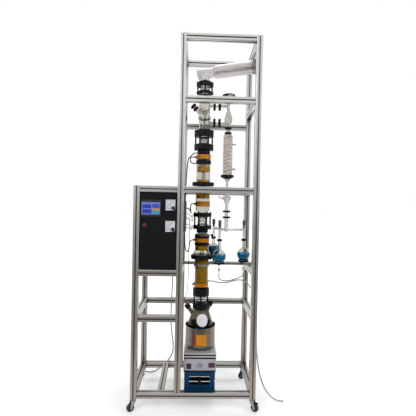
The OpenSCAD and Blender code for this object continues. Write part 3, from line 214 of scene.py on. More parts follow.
def ground_steel():
    """Ground and chromed rod: bright, with fine marks round it."""
    material, tree, shader, where = start("chromed_steel", 1.0, 0.22)
    mottle(tree, shader, where, "#D2D4D6", "#E2E4E6", 3, stretch=(1, 0.1, 0.1), bump=0.1,
           shine=(0.16, 0.28))
    return material


def blackened_steel():
    """Turned and blackened in hot salts: near black with a dull metal edge."""
    material, tree, shader, where = start("blackened_steel", 0.6, 0.42)
    mottle(tree, shader, where, "#26272A", "#34363A", 3, bump=0.1)
    return material


def grey_rubber():
    """Moulded tread rubber: matte dark grey with a fine grit."""
    material, tree, shader, where = start("grey_rubber", 0.0, 0.75, gloss=0.3)
    mottle(tree, shader, where, "#303236", "#3C3E42", 1.5, bump=0.3)
    return material


def black_nylon():
    """Moulded glass-filled nylon: matte black with a soft sheen."""
    material, tree, shader, where = start("black_nylon", 0.0, 0.5, gloss=0.15)
    mottle(tree, shader, where, "#08080A", "#0F1012", 2, bump=0.2)
    return material


def powder_coat(name, low, high):
    """Powder coat on sheet steel: a low sheen with orange peel."""
    material, tree, shader, where = start(name, 0.0, 0.52, gloss=0.14)
    mottle(tree, shader, where, low, high, 2.5, bump=0.2)
    return material


def moulded_abs(name, low, high):
    """Moulded ABS with a spark-eroded grain."""
    material, tree, shader, where = start(name, 0.0, 0.45)
    mottle(tree, shader, where, low, high, 2, bump=0.15)
    return material


def white_acrylic():
    """Moulded white acrylic with a clear gloss."""
    material, tree, shader, where = start("white_acrylic", 0.0, 0.25, 1.49)
    mottle(tree, shader, where, "#D5DADF", "#E0E5E9", 5)
    return material


def polycarbonate(name, low, high):
    """Moulded polycarbonate: a deep colour with gloss."""
    material, tree, shader, where = start(name, 0.0, 0.28, 1.58)
    mottle(tree, shader, where, low, high, 4)
    return material


def gloss_enamel(name, low, high):
    """Gloss enamel on folded sheet steel, a little wavy."""
    material, tree, shader, where = start(name, 0.0, 0.34, gloss=0.15)
    mottle(tree, shader, where, low, high, 6, bump=0.1)
    return material


def jack_inside_shade_finish():
    """Inside the jack: blue black without any shine, painted shade for its shadowed inner faces."""
    material, tree, shader, where = start("blue_black_painted_shade", 0.0, 0.85, gloss=0.0)
    mottle(tree, shader, where, "#04080F", "#070D16", 5, bump=0.1)
    return material


def stirrer_paint():
    """Satin paint in a pale lavender grey."""
    material, tree, shader, where = start("lavender_grey_paint", 0.0, 0.42)
    mottle(tree, shader, where, "#A6A4B1", "#B3B1BD", 3, bump=0.1)
    return material


def brushed_plate():
    """Rolled aluminium brushed along its width and coated pale against the heat."""
    material, tree, shader, where = start("coated_plate_aluminium", 0.3, 0.42)
    mottle(tree, shader, where, "#B2B1B3", "#C6C5C7", 6, stretch=(0.08, 1, 1), bump=0.15,
           shine=(0.36, 0.5))
    return material


def stainless_steel():
    """Spun stainless steel with turning lines round it."""
    material, tree, shader, where = start("spun_stainless_steel", 1.0, 0.3)
    mottle(tree, shader, where, "#736C64", "#807971", 3, stretch=(0.05, 0.05, 1), bump=0.06,
           shine=(0.2, 0.32))
    return material


def pot_inside_shade_steel():
    """Inside of the bath: steel painted dark and dull, painted shade for the pot's shadowed inside."""
    material, tree, shader, where = start("pot_inside_painted_shade", 0.5, 0.5)
    mottle(tree, shader, where, "#191716", "#2A2624", 18, bump=0.1)
    return material


def see_through(tree, shader, tint):
    """Glass with weak reflections head on, which passes the lamps' light to what is inside it."""
    shader.inputs["Transmission Weight"].default_value = 1.0
    shader.inputs["Specular Tint"].default_value = (0.3, 0.3, 0.3, 1.0)
    rays = put(tree, "ShaderNodeLightPath", {})
    clear = put(tree, "ShaderNodeBsdfTransparent", {"Color": srgb(tint)})
    both = put(tree, "ShaderNodeMixShader", {},
               [(0, rays.outputs["Is Shadow Ray"]), (1, shader.outputs[0]), (2, clear.outputs[0])])
    tree.links.new(both.outputs[0], tree.nodes["Material Output"].inputs["Surface"])


def clear_glass():
    """Blown borosilicate: smooth and clear, each wall a little warm and grey against a white room."""
    material, tree, shader, where = start("borosilicate_glass", 0.0, 0.02, 1.47)
    mottle(tree, shader, where, "#D8D6D1", "#E0DED9", 60)
    see_through(tree, shader, "#EFEFEC")
    return material


def misted_glass(name, low, high, shine):
    """Glass with a film of vapour inside: milky grey, so that what is behind it shows soft."""
    material, tree, shader, where = start(name, 0.0, 0.1, 1.47)
    mottle(tree, shader, where, low, high, 25, shine=shine)
    see_through(tree, shader, "#E6E4E0")
    return material


def flask_glass():
    """The boiling flask: glass clouded grey brown by what has boiled in it."""
    material, tree, shader, where = start("clouded_glass", 0.0, 0.06, 1.47)
    mottle(tree, shader, where, "#868276", "#989487", 40)
    see_through(tree, shader, "#BDBAB2")
    return material


GAUZE_CELL, GAUZE_RELIEF = 5, 1.2
TRACK_PITCH = 6


def packing_mesh(name, crest, hollow):
    """Rolled brass gauze: gold wire, bright on its crests and brown between, drawn coarse to show."""
    material, tree, shader, where = start(name, 0.0, 0.55, gloss=0.1)
    cells = put(tree, "ShaderNodeTexVoronoi", {"Scale": 1 / (GAUZE_CELL * MM)}, [("Vector", where)])
    ramp = put(tree, "ShaderNodeValToRGB", {}, [("Fac", cells.outputs["Distance"])])
    ramp.color_ramp.elements[0].color = srgb(crest)
    ramp.color_ramp.elements[1].color = srgb(hollow)
    relief = put(tree, "ShaderNodeBump", {"Strength": 0.6, "Distance": GAUZE_RELIEF * MM},
                 [("Height", cells.outputs["Distance"])])
    tree.links.new(ramp.outputs["Color"], shader.inputs["Base Color"])
    tree.links.new(relief.outputs["Normal"], shader.inputs["Normal"])
    return material


def heater_film():
    """Polyimide heating film: amber orange and a little glossy, with darker tracks round it."""
    material, tree, shader, where = start("polyimide_film", 0.0, 0.3, 1.7, gloss=0.2)
    noise = mottle(tree, shader, where, "#BC6A02", "#D88A08", 8)
    tracks = put(tree, "ShaderNodeTexWave",
                 {"bands_direction": "Z", "Scale": math.pi / 10 / (TRACK_PITCH * MM)},
                 [("Vector", where)])
    ramp = tree.nodes["Color Ramp"]
    darker = put(tree, "ShaderNodeMix", {"data_type": "RGBA", "blend_type": "MULTIPLY"},
                 [(6, ramp.outputs["Color"]), (7, tracks.outputs["Color"])])
    darker.inputs[0].default_value = 0.25
    tree.links.new(darker.outputs[2], shader.inputs["Base Color"])
    relief = put(tree, "ShaderNodeBump", {"Strength": 0.2, "Distance": 0.1 * MM},
                 [("Height", noise.outputs["Fac"])])
    tree.links.new(relief.outputs["Normal"], shader.inputs["Normal"])
    return material


def blue_liquid():
    """Dyed water: clear bright blue."""
    material, tree, shader, where = start("blue_water", 0.0, 0.05, 1.33, gloss=0.3)
    shader.inputs["Transmission Weight"].default_value = 0.1
    mottle(tree, shader, where, "#006C9E", "#0082BA", 30)
    return material


def lead_pvc(name, low, high):
    """Extruded PVC jacket, matte."""
    material, tree, shader, where = start(name, 0.0, 0.55)
    mottle(tree, shader, where, low, high, 4, bump=0.1)
    return material


def silicone_hose():
    """Extruded silicone: milky and half clear."""
    material, tree, shader, where = start("silicone_hose", 0.0, 0.35, 1.41)
    shader.inputs["Transmission Weight"].default_value = 0.2
    mottle(tree, shader, where, "#A8A5A0", "#B8B5B0", 10)
    return material


def lit_field(name, low, high):
    """Field of a lit display: a soft glow of its own colour under smooth glass."""
    material, tree, shader, where = start(name, 0.0, 0.2)
    mottle(tree, shader, where, low, high, 30)
    shader.inputs["Emission Color"].default_value = srgb(high)
    shader.inputs["Emission Strength"].default_value = 0.05
    return material


def paper_film(name, low, high):
    """Printed vinyl film with a faint satin gloss."""
    material, tree, shader, where = start(name, 0.0, 0.38)
    mottle(tree, shader, where, low, high, 30)
    return material


post_aluminium = profile_aluminium("anodised_post_aluminium", (1, 1, 0.02), "#D0C8BC")
rail_aluminium = profile_aluminium("anodised_rail_aluminium", (0.02, 0.02, 1), "#D4D2CE")
zinc = zinc_plated_steel()
bright_steel = ground_steel()
dark_steel = blackened_steel()
rubber = grey_rubber()
black = black_nylon()
cabinet_grey = powder_coat("grey_powder_coat", "#303236", "#383A3E")
panel_black = powder_coat("black_powder_coat", "#0C0E11", "#121418")
grey = moulded_abs("grey_abs", "#3A3D41", "#46494D")
bezel_black = moulded_abs("black_abs", "#16181B", "#1E2024")
knob_grey = moulded_abs("silver_grey_abs", "#85858D", "#94949B")
white = white_acrylic()
button_red = polycarbonate("red_polycarbonate", "#7A1010", "#8A1616")
rocker_red = polycarbonate("dark_red_polycarbonate", "#3A0C10", "#4E1014")
smoked = polycarbonate("smoked_polycarbonate", "#0D0A14", "#15111C")
cyan = polycarbonate("cyan_polycarbonate", "#4FB7C4", "#63C9D4")
blue = gloss_enamel("blue_enamel", "#003256", "#003E68")
navy = gloss_enamel("navy_enamel", "#020C18", "#041222")
jack_inside_shade = jack_inside_shade_finish()
lavender = stirrer_paint()
plate = brushed_plate()
stainless = stainless_steel()
pot_inside_shade = pot_inside_shade_steel()
glass = clear_glass()
misted = misted_glass("misted_glass", "#CECBC7", "#DEDBD7", (0.0, 0.08))
faint_mist = misted_glass("faintly_misted_glass", "#DDDBDB", "#E6E4E4", (0.2, 0.42))
clouded = flask_glass()
gauze = packing_mesh("brass_gauze", "#C69A02", "#665100")
bright_gauze = packing_mesh("bright_brass_gauze", "#DCA81A", "#8C6808")
film = heater_film()
water = blue_liquid()
pale_pvc = lead_pvc("pale_grey_pvc", "#807D78", "#8E8B86")
black_pvc = lead_pvc("black_pvc", "#151617", "#1D1E1F")
grey_pvc = lead_pvc("grey_pvc", "#5C5D5C", "#6A6B6A")
hose = silicone_hose()
white_film = paper_film("white_vinyl", "#D6D7DE", "#E0E1E8")
orange_film = paper_film("orange_vinyl", "#C47A12", "#D68A14")
red_film = paper_film("red_vinyl", "#9A1B18", "#AE2420")

CASTORS = range(1, 5)
node_finish = {
    "posts": post_aluminium, "lower_rails": rail_aluminium, "upper_rails": rail_aluminium,
    "castor_plates": zinc, "castor_brake": black,
    "cabinet_housing": cabinet_grey, "cabinet_panel": panel_black, "touch_screen": bezel_black,
    "panel_bezels": white, "meter_needle_1": bezel_black, "meter_needle_2": bezel_black,
    "stop_button": button_red, "jack_base": blue, "jack_platform": blue,
    "jack_arms_outer": navy, "jack_arms_inner": navy, "jack_screw": black,
    "stirrer_housing": lavender, "hot_plate": plate, "stirrer_knob": knob_grey,
    "rocker_left": rocker_red, "rocker_right": rocker_red, "bath_pot": stainless,
    "boiling_flask": clouded, "column_glass": glass, "column_packing": gauze, "column_fittings": black,
    "heater_bands": film, "coupling_collars": black, "tie_rods": black, "reflux_head": glass,
    "vapour_condenser": faint_mist, "support_clamps": zinc,
    "product_condenser": misted, "condenser_coil": glass, "receiver_manifold": faint_mist,
    "valve_key_1": grey, "valve_key_2": grey, "valve_key_3": grey,
    "receiver_flasks": glass, "receiver_liquid": water,
    "drain_key_1": white, "drain_key_2": white, "terminal_strip": grey, "mains_plug": pale_pvc,
}
for i in CASTORS:
    node_finish["castor_fork_%d" % i] = zinc
    node_finish["castor_wheel_%d" % i] = rubber
for name, material in node_finish.items():
    mesh = nodes[name].data
    mesh.materials.clear()
    mesh.materials.append(material)


def dress_part(name, material, wanted):
    """A second finish for the faces of a node whose centre in mm and normal pass a test."""
    mesh = nodes[name].data
    mesh.materials.append(material)
    index = len(mesh.materials) - 1
    for face in mesh.polygons:
        if wanted(face.center / MM, face.normal):
            face.material_index = index


# Places taken from the solids, in mm
def span(name):
    """Low and high corner of a node's box."""
    return [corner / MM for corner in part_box(name)]


pot_low, pot_high = span("bath_pot")
axis_x = (pot_low.x + pot_high.x) / 2
axis_y = (pot_low.y + pot_high.y) / 2
FLASK_R = 85
POT_R = 100
COUPLING_Z = (674, 1209, 1752, 2100)
STEEL_RING_Z, STEEL_RING_R = (1107, 1120), 50
CRADLE_REACH = 66


def from_axis(c):
    """Distance from the column's axis."""
    return math.hypot(c.x - axis_x, c.y - axis_y)


# The pot's inside walls take the dark finish: painted shade inside the bath
dress_part("bath_pot", pot_inside_shade, lambda c, n: from_axis(c) < POT_R - 1 and c.z > pot_low.z + 1
           and n.x * (c.x - axis_x) + n.y * (c.y - axis_y) <= 0.2 and n.z > -0.5)
dress_part("column_packing", bright_gauze, lambda c, n: c.z > COUPLING_Z[1])
dress_part("column_fittings", stainless, lambda c, n: STEEL_RING_Z[0] < c.z < STEEL_RING_Z[1]
           and from_axis(c) < STEEL_RING_R)
cradle_low, cradle_high = span("receiver_flasks")
dress_part("support_clamps", black, lambda c, n: cradle_low.z < c.z < cradle_high.z
           and c.x > axis_x + CRADLE_REACH)


# Cords: routes in mm, which are those of their solids where they have one
mains_route = [
    (-175, 240, 930), (-175, 256, 929), (-175, 272, 920), (-175, 282, 902), (-175, 286, 878),
    (-176, 284, 840), (-177, 276, 770), (-179, 266, 680), (-181, 258, 590), (-183, 250, 490),
    (-181, 244, 400), (-171, 239, 310), (-161, 235, 240), (-164, 233, 185), (-184, 232, 140),
    (-215, 233, 102), (-248, 240, 68), (-280, 252, 37), (-309, 264, 16), (-336, 273, 8),
    (-366, 278, 9), (-395, 280, 11),
]
drain_route = [
    (106, -60, 800), (124, -60, 799), (152, -55, 792), (187, -43, 786), (226, -28, 786),
    (266, -14, 793), (304, -4, 798), (340, -1, 791), (370, -8, 770), (394, -24, 736),
    (409, -44, 690), (417, -62, 630), (420, -78, 560), (421, -90, 470), (421, -97, 390),
    (427, -101, 300), (440, -104, 215), (460, -106, 140), (486, -108, 84), (518, -109, 42),
    (552, -110, 16), (586, -110, 6), (610, -110, 5),
]
receiver_route = [
    (157, -100, 854), (157, -100, 840), (163, -98, 824), (181, -93, 813), (206, -85, 809),
    (236, -75, 810), (266, -65, 816), (295, -55, 824), (318, -48, 834), (327, -45, 846),
    (327, -45, 854),
]
upper_route = [
    (-74, -205, 1340), (-74, -204, 1352), (-74, -196, 1366), (-74, -184, 1376), (-74, -175, 1392),
    (-73, -172, 1422), (-72, -166, 1470), (-70, -150, 1520), (-68, -128, 1564), (-65, -102, 1600),
    (-61, -78, 1626), (-54, -64, 1639), (-40, -60, 1641), (-21, -60, 1641),
]
middle_route = [
    (-65, -204, 1295), (-54, -204, 1295), (-44, -199, 1285), (-38, -186, 1272), (-36, -168, 1265),
    (-37, -146, 1266), (-39, -122, 1275), (-41, -98, 1292), (-41, -78, 1310), (-37, -65, 1322),
    (-29, -60, 1325), (-21, -60, 1325),
]
lower_route = [
    (-74, -205, 1150), (-74, -205, 1134), (-73, -200, 1100), (-71, -188, 1062), (-67, -168, 1030),
    (-61, -142, 1012), (-54, -114, 1008), (-48, -88, 1020), (-44, -68, 1046), (-37, -60, 1074),
    (-21, -60, 1080),
]
probe_route = [
    (-65, -206, 1229), (-52, -206, 1226), (-44, -196, 1206), (-43, -174, 1160), (-44, -146, 1090),
    (-46, -116, 1000), (-47, -92, 900), (-49, -76, 810), (-54, -66, 740), (-62, -61, 700),
    (-68, -60, 670), (-58, -60, 640),
]
# Loose loop between the black rings over and under the upper heater band
loop_route = [
    (0.7, -41.7, 1673), (-9.8, -36.8, 1673), (-27, -33, 1669), (-42, -32, 1657), (-50, -32, 1638),
    (-48, -31, 1617), (-37, -30, 1605), (-20, -32, 1602), (-6.4, -38.4, 1603),
]
# Thin wires from the terminal strip to the lugs of the second coupling
wire_routes = [
    [(-66, -205, 1172), (-58, -205, 1172), (-50, -203, 1171), (-40, -192, 1164), (-34, -170, 1156),
     (-33, -140, 1152), (-34, -110, 1154), (-34, -84, 1160), (-30, -67, 1166), (-21, -60, 1168)],
    [(-66, -212, 1194), (-58, -212, 1194), (-50, -210, 1190), (-38, -196, 1178), (-28, -170, 1168),
     (-26, -140, 1163), (-27, -110, 1164), (-28, -85, 1170), (-27, -68, 1175), (-20, -56, 1176)],
    [(-66, -205, 1260), (-58, -205, 1260), (-50, -203, 1258), (-42, -192, 1250), (-36, -170, 1240),
     (-35, -140, 1235), (-35, -110, 1237), (-34, -84, 1244), (-30, -67, 1250), (-21, -60, 1252)],
    [(-66, -212, 1238), (-58, -212, 1238), (-50, -210, 1236), (-40, -198, 1226), (-29, -172, 1216),
     (-27, -140, 1212), (-27, -110, 1216), (-28, -85, 1228), (-27, -68, 1240), (-20, -56, 1244)],
]


def round_line(name, route, radius_mm, material):
    """One smooth curve through points in mm, with a round section."""
    line = bpy.data.curves.new(name, "CURVE")
    line.dimensions = "3D"
    line.bevel_depth = radius_mm * MM
    line.bevel_resolution = 5
    line.resolution_u = 8
    line.use_fill_caps = True
    spline = line.splines.new("BEZIER")
    spline.bezier_points.add(len(route) - 1)
    for point, place in zip(spline.bezier_points, route):
        point.co = Vector(place) * MM
        point.handle_left_type = point.handle_right_type = "AUTO"
    piece = bpy.data.objects.new(name, line)
    bpy.context.scene.collection.objects.link(piece)
    line.materials.append(material)
    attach(piece, "frame")
    bpy.context.view_layer.update()
    return piece


def lay_cord(name, node, route, radius_mm, material):
    """One cord on its route, which stands for its solid where it has one."""
    cord = round_line(name, route, radius_mm, material)
    if node:
        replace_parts(cord, node)


HEATER_R = 3.5
WIRE_R = 1.6
lay_cord("mains_cable", "mains_lead", mains_route, 4, pale_pvc)
lay_cord("drain_tube", "drain_hose", drain_route, 4.5, hose)
lay_cord("receiver_tube", "receiver_hose", receiver_route, 4, hose)
for level, route in (("upper", upper_route), ("middle", middle_route), ("lower", lower_route)):
    lay_cord(level + "_heater_cable", "heater_lead_" + level, route, HEATER_R, black_pvc)
lay_cord("probe_cable", "probe_lead", probe_route, 2, grey_pvc)
lay_cord("band_loop", None, loop_route, HEATER_R, black_pvc)
for i, route in enumerate(wire_routes):
    lay_cord("strip_wire_%d" % (i + 1), None, route, WIRE_R, (black_pvc, grey_pvc)[i % 2])


# Least share of an axis in the direction of a face or an edge that counts as along it
FACING = 0.9


# Modelling helpers: each starts or shapes one piece, in mm
def named(name):
    """Names the new piece and applies its placing."""
    piece = bpy.context.object
    piece.name = piece.data.name = name
    bpy.ops.object.transform_apply(location=True, rotation=True, scale=True)
    return piece


def block(name, low, high):
    """A block between two corners, as a start."""
    bpy.ops.object.select_all(action="DESELECT")
    middle = [(a + b) / 2 * MM for a, b in zip(low, high)]
    size = [(b - a) * MM for a, b in zip(low, high)]
    bpy.ops.mesh.primitive_cube_add(size=1, location=middle, scale=size)
    return named(name)


def turned(name, outline, centre, steps=48, sweep=360.0):
    """An outline of radius and height, drawn point by point and spun about an upright axis."""
    bpy.ops.object.select_all(action="DESELECT")
    x, y, z = centre
    first = ((x + outline[0][0]) * MM, y * MM, (z + outline[0][1]) * MM)
    bpy.ops.mesh.primitive_plane_add(size=MM, location=first)
    piece = named(name)
    bpy.ops.object.mode_set(mode="EDIT")
    bpy.ops.mesh.select_mode(type="VERT")
    bpy.ops.mesh.select_all(action="SELECT")
    bpy.ops.mesh.merge(type="CENTER")
    for (r0, z0), (r1, z1) in zip(outline, outline[1:]):
        step = ((r1 - r0) * MM, 0, (z1 - z0) * MM)
        bpy.ops.mesh.extrude_region_move(TRANSFORM_OT_translate={"value": step})
    bpy.ops.mesh.select_all(action="SELECT")
    bpy.ops.mesh.spin(steps=steps, angle=math.radians(-sweep), center=[c * MM for c in centre],
                      axis=(0, 0, 1))
    bpy.ops.mesh.select_all(action="SELECT")
    bpy.ops.mesh.remove_doubles(threshold=0.01 * MM)
    bpy.ops.mesh.normals_make_consistent(inside=False)
    bpy.ops.object.mode_set(mode="OBJECT")
    return piece


def pick(piece, wanted):
    """Edit mode, with only those faces selected whose centre in mm and normal pass a test."""
    bpy.context.view_layer.objects.active = piece
    bpy.ops.object.mode_set(mode="EDIT")
    bpy.ops.mesh.select_mode(type="FACE")
    bpy.ops.mesh.select_all(action="DESELECT")
    mesh = bmesh.from_edit_mesh(piece.data)
    for face in mesh.faces:
        face.select_set(bool(wanted(face.calc_center_median() / MM, face.normal)))
    bmesh.update_edit_mesh(piece.data)


def pick_edges(piece, wanted):
    """Edit mode, with only those edges selected whose middle in mm and direction pass a test."""
    bpy.context.view_layer.objects.active = piece
    bpy.ops.object.mode_set(mode="EDIT")
    bpy.ops.mesh.select_mode(type="EDGE")
    bpy.ops.mesh.select_all(action="DESELECT")
    mesh = bmesh.from_edit_mesh(piece.data)
    for edge in mesh.edges:
        a, b = (v.co for v in edge.verts)
        edge.select_set(bool(wanted((a + b) / 2 / MM, (b - a).normalized())))
    bmesh.update_edit_mesh(piece.data)


def round_edges(width, segments=3):
    """Bevels the selected edges, with a width in mm."""
    bpy.ops.mesh.bevel(offset=width * MM, segments=segments, affect="EDGES")


def wall(piece, thickness, offset=-1):
    """Gives an open sheet its thickness in mm: offset -1 inwards, 1 outwards."""
    bpy.ops.object.mode_set(mode="OBJECT")
    bpy.context.view_layer.objects.active = piece
    sheet = piece.modifiers.new("wall", "SOLIDIFY")
    sheet.thickness = thickness * MM
    sheet.offset = offset
    bpy.ops.object.modifier_apply(modifier=sheet.name)


def finish(piece, materials, body, angle=35):
    """Smooths round faces, gives the materials and sets the body that carries the piece."""
    bpy.ops.object.mode_set(mode="OBJECT")
    bpy.ops.object.select_all(action="DESELECT")
    piece.select_set(True)
    bpy.context.view_layer.objects.active = piece
    bpy.ops.object.shade_smooth_by_angle(angle=math.radians(angle))
    for material in materials if isinstance(materials, (list, tuple)) else [materials]:
        piece.data.materials.append(material)
    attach(piece, body)
    return piece


def turn_to(piece, direction, place):
    """Turns a piece modelled upright at the origin along a direction, and sets it at a place in mm."""
    turn = Vector((0, 0, 1)).rotation_difference(Vector(direction)).to_matrix().to_4x4()
    piece.data.transform(Matrix.Translation(Vector(place) * MM) @ turn)
    return piece


def copied(piece, name, shift, body):
    """A copy with its own mesh, moved by mm."""
    twin = piece.copy()
    twin.data = piece.data.copy()
    twin.name = twin.data.name = name
    bpy.context.scene.collection.objects.link(twin)
    twin.data.transform(Matrix.Translation(Vector(shift) * MM))
    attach(twin, body)
    return twin


ROUND_ANGLE = 32


def smoothed(name):
    """A merged copy with smooth round faces, which stands in for a node of loose triangles."""
    node = nodes[name]
    piece = bpy.data.objects.new(name + "_round", node.data.copy())
    piece.data.name = piece.name
    bpy.context.scene.collection.objects.link(piece)
    bpy.ops.object.select_all(action="DESELECT")
    piece.select_set(True)
    bpy.context.view_layer.objects.active = piece
    bpy.ops.object.mode_set(mode="EDIT")
    bpy.ops.mesh.select_all(action="SELECT")
    bpy.ops.mesh.remove_doubles(threshold=0.005 * MM)
    bpy.ops.object.mode_set(mode="OBJECT")
    bpy.ops.object.shade_smooth_by_angle(angle=math.radians(ROUND_ANGLE))
    even = piece.modifiers.new("even", "WEIGHTED_NORMAL")
    even.keep_sharp = True
    bpy.ops.object.modifier_apply(modifier=even.name)
    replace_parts(piece, name)
    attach(piece, body_of(node)[0])


TICKS = 11


def ticked_arc(name, arc, steps, sweep, tick_in, tick_out, tick_sweep, spread):
    """A flat arc between two radii with ticks on its inner side, spread over an angle.

    The inner radius of a tick comes from its number.
    """
    scale = turned(name, [(r, 0) for r in arc], (0, 0, 0), steps, sweep)
    for i in range(TICKS):
        tick = turned("tick", [(tick_in(i), 0), (tick_out, 0)], (0, 0, 0), 1, tick_sweep)
        tick.data.transform(Matrix.Rotation(math.radians(spread * i / (TICKS - 1)), 4, "Z"))
        scale.select_set(True)
        bpy.context.view_layer.objects.active = scale
        bpy.ops.object.join()
    return scale


FRONT = (0, -1, 0)


# Control panel
def screen_display():
    """Lit display behind the bezel: its fields are cut out of the sheet and raised a little."""
    low, high = span("touch_screen")
    beside, under, over = 5.3, 13.3, 15.3
    x0, x1, z0, z1 = low.x + beside, high.x - beside, low.z + under, high.z - over
    # Left, right, bottom and top as shares of the display, and the finish
    fields = (
        (0.04, 0.52, 0.50, 0.80, 1), (0.04, 0.54, 0.10, 0.42, 1), (0.57, 0.97, 0.54, 0.84, 2),
        (0.57, 0.97, 0.32, 0.50, 3), (0.60, 0.77, 0.07, 0.26, 4), (0.80, 0.95, 0.07, 0.26, 4),
    )
    piece = block("screen_display", (x0, low.y + 0.35, z0), (x1, low.y + 1, z1))
    bpy.ops.object.mode_set(mode="EDIT")
    for edge in sorted({share for field in fields for share in field[:2]}):
        bpy.ops.mesh.select_all(action="SELECT")
        bpy.ops.mesh.bisect(plane_co=((x0 + edge * (x1 - x0)) * MM, 0, 0), plane_no=(1, 0, 0))
    for edge in sorted({share for field in fields for share in field[2:4]}):
        bpy.ops.mesh.select_all(action="SELECT")
        bpy.ops.mesh.bisect(plane_co=(0, 0, (z0 + edge * (z1 - z0)) * MM), plane_no=(0, 0, 1))
    for left, right, bottom, top, tone in fields:
        pick(piece, lambda c, n: n.y < -FACING and left < (c.x - x0) / (x1 - x0) < right
             and bottom < (c.z - z0) / (z1 - z0) < top)
        bpy.ops.mesh.extrude_region_move(TRANSFORM_OT_translate={"value": (0, -0.2 * MM, 0)})
        mesh = bmesh.from_edit_mesh(piece.data)
        for face in mesh.faces:
            if face.select:
                face.material_index = tone
        bmesh.update_edit_mesh(piece.data)
    finish(piece, [
        lit_field("pale_blue_display", "#647CC4", "#768DCF"),
        lit_field("blue_display", "#2438A6", "#3048B6"),
        lit_field("violet_display", "#4048B8", "#525AC6"),
        lit_field("amber_display", "#B98A3C", "#CFA356"),
        lit_field("teal_display", "#1F9EA0", "#37B4B2"),
    ], "frame")


NEEDLE_HUB = 4


def meter_dial(i):
    """Card behind a needle, with an arc and ticks printed round the needle's pivot."""
    low, high = span("meter_needle_%d" % i)
    pivot = Vector((high.x - NEEDLE_HUB, high.y + 0.1, (low.z + high.z) / 2))
    left, right, under, over = 44.7, 8.7, 10.7, 50.7
    card = block("meter_card_%d" % i, (pivot.x - left, pivot.y, pivot.z - under),
                 (pivot.x + right, pivot.y + 0.28, pivot.z + over))
    pick_edges(card, lambda c, d: abs(d.y) > FACING)
    round_edges(1.5)
    finish(card, white_film, "frame")
    scale = ticked_arc("meter_scale_%d" % i, (38.5, 39.8), 24, 90,
                       lambda step: 34.5 if step % 5 == 0 else 36.2, 38.6, 1.4, 88.6)
    wall(scale, 0.06, 0)
    scale.data.transform(Matrix.Rotation(math.radians(90), 4, "Z"))
    turn_to(scale, FRONT, pivot)
    finish(scale, bezel_black, "frame")


def panel_screws():
    """Socket screws along the edges of the front panel."""
    low, high = span("cabinet_panel")
    edge = 9
    head = [(0, 0.7), (1.4, 0.7), (1.4, 1.7), (2.6, 1.7), (3.2, 1.1), (3.2, 0), (0, 0)]
    screw = turned("panel_screw_1", head, (0, 0, 0), 24)
    turn_to(screw, FRONT, (low.x + edge, low.y, low.z + edge))
    finish(screw, dark_steel, "frame")
    across, up = high.x - low.x - 2 * edge, high.z - low.z - 2 * edge
    for i, (dx, dz) in enumerate(((1, 0), (0, 0.5), (1, 0.5), (0, 1), (1, 1)), 2):
        copied(screw, "panel_screw_%d" % i, (dx * across, 0, dz * up), "frame")


screen_display()
for i in (1, 2):
    meter_dial(i)
panel_screws()

# Black pieces among the white bezels: the button's collar, and the cap over each needle's pivot
button_right = span("stop_button")[1].x
meter_low, meter_high = span("meter_needle_1")
COLLAR_REACH = 20
CAP_LEFT, CAP_DEPTH, CAP_DROP, CAP_HALF = 14.5, 1.2, 7, 13.5
cap_z = [span("meter_needle_%d" % i)[0].z + NEEDLE_HUB - CAP_DROP for i in (1, 2)]
dress_part("panel_bezels", bezel_black, lambda c, n: c.x < button_right + COLLAR_REACH)
dress_part("panel_bezels", bezel_black, lambda c, n: c.x > meter_high.x - CAP_LEFT
           and c.y < meter_low.y + CAP_DEPTH and any(abs(c.z - z) < CAP_HALF for z in cap_z))


# Stirrer
def stirrer_seams():
    """Two soft black seals that lie over the seams between the housing, the band and the heated top,
    whose black is also painted shade for the shadowed grooves.
    """
    low, high = span("hot_plate")
    proud, lap = 0.7, 1.5
    for name, z0, z1 in (("lower_seal", low.z - 6, low.z), ("upper_seal", low.z + 13, low.z + 18)):
        seal = block(name, (low.x - proud, low.y - proud, z0 - lap),
                     (high.x + proud, high.y + proud, z1 + lap))
        pick_edges(seal, lambda c, d: abs(d.z) > FACING)
        round_edges(5, 5)
        pick(seal, lambda c, n: abs(n.z) > FACING)
        bpy.ops.mesh.delete(type="FACE")
        wall(seal, 0.65)
        finish(seal, black, "jack_platform")


def stirrer_window():
    """Smoked window over the readout."""
    low = span("stirrer_housing")[0]
    left, right, under, over = 86.7, 55.3, 14.3, 49.7
    window = block("stirrer_window", (axis_x - left, low.y - 0.2, low.z + under),
                   (axis_x - right, low.y + 1, low.z + over))
    pick(window, lambda c, n: n.y < -FACING)
    bpy.ops.mesh.inset(thickness=2.5 * MM)
    bpy.ops.mesh.extrude_region_move(TRANSFORM_OT_translate={"value": (0, 0.3 * MM, 0)})
    finish(window, smoked, "jack_platform")


def rocker_frames():
    """Raised frame round each rocker."""
    front = span("stirrer_housing")[0].y
    half_width, half_height, edge = 10, 15, 1.2
    for side in ("left", "right"):
        a, b = span("rocker_" + side)
        x, z = (a.x + b.x) / 2, (a.z + b.z) / 2
        rim = block("rocker_frame_" + side, (x - half_width, front - edge, z - half_height),
                    (x + half_width, front, z + half_height))
        pick(rim, lambda c, n: abs(n.y) > FACING)
        bpy.ops.mesh.inset(thickness=edge * MM, use_individual=True)
        bpy.ops.mesh.bridge_edge_loops()
        finish(rim, bezel_black, "jack_platform")


def knob_scale():
    """Ticks round the stirrer's knob."""
    a, b = span("stirrer_knob")
    x, z = (a.x + b.x) / 2, (a.z + b.z) / 2
    scale = ticked_arc("knob_scale", (16.5, 17.2), 40, 270, lambda step: 14.5, 16.6, 3, 267)
    wall(scale, 0.15, 0)
    scale.data.transform(Matrix.Rotation(math.radians(-45), 4, "Z"))
    turn_to(scale, FRONT, (x, span("stirrer_housing")[0].y - 0.02, z))
    finish(scale, grey, "jack_platform")


stirrer_seams()
stirrer_window()
rocker_frames()
knob_scale()


# Jack: its outer arms rise to the front, and its inner arms fall
ARMS = ("jack_arms_outer", "jack_arms_inner")
ARM_END_R = 8
ROD_HALF, ROD_R = 85, 4.6
SHADED_TOP_SHEET, INNER_FROM = 3.1, 10


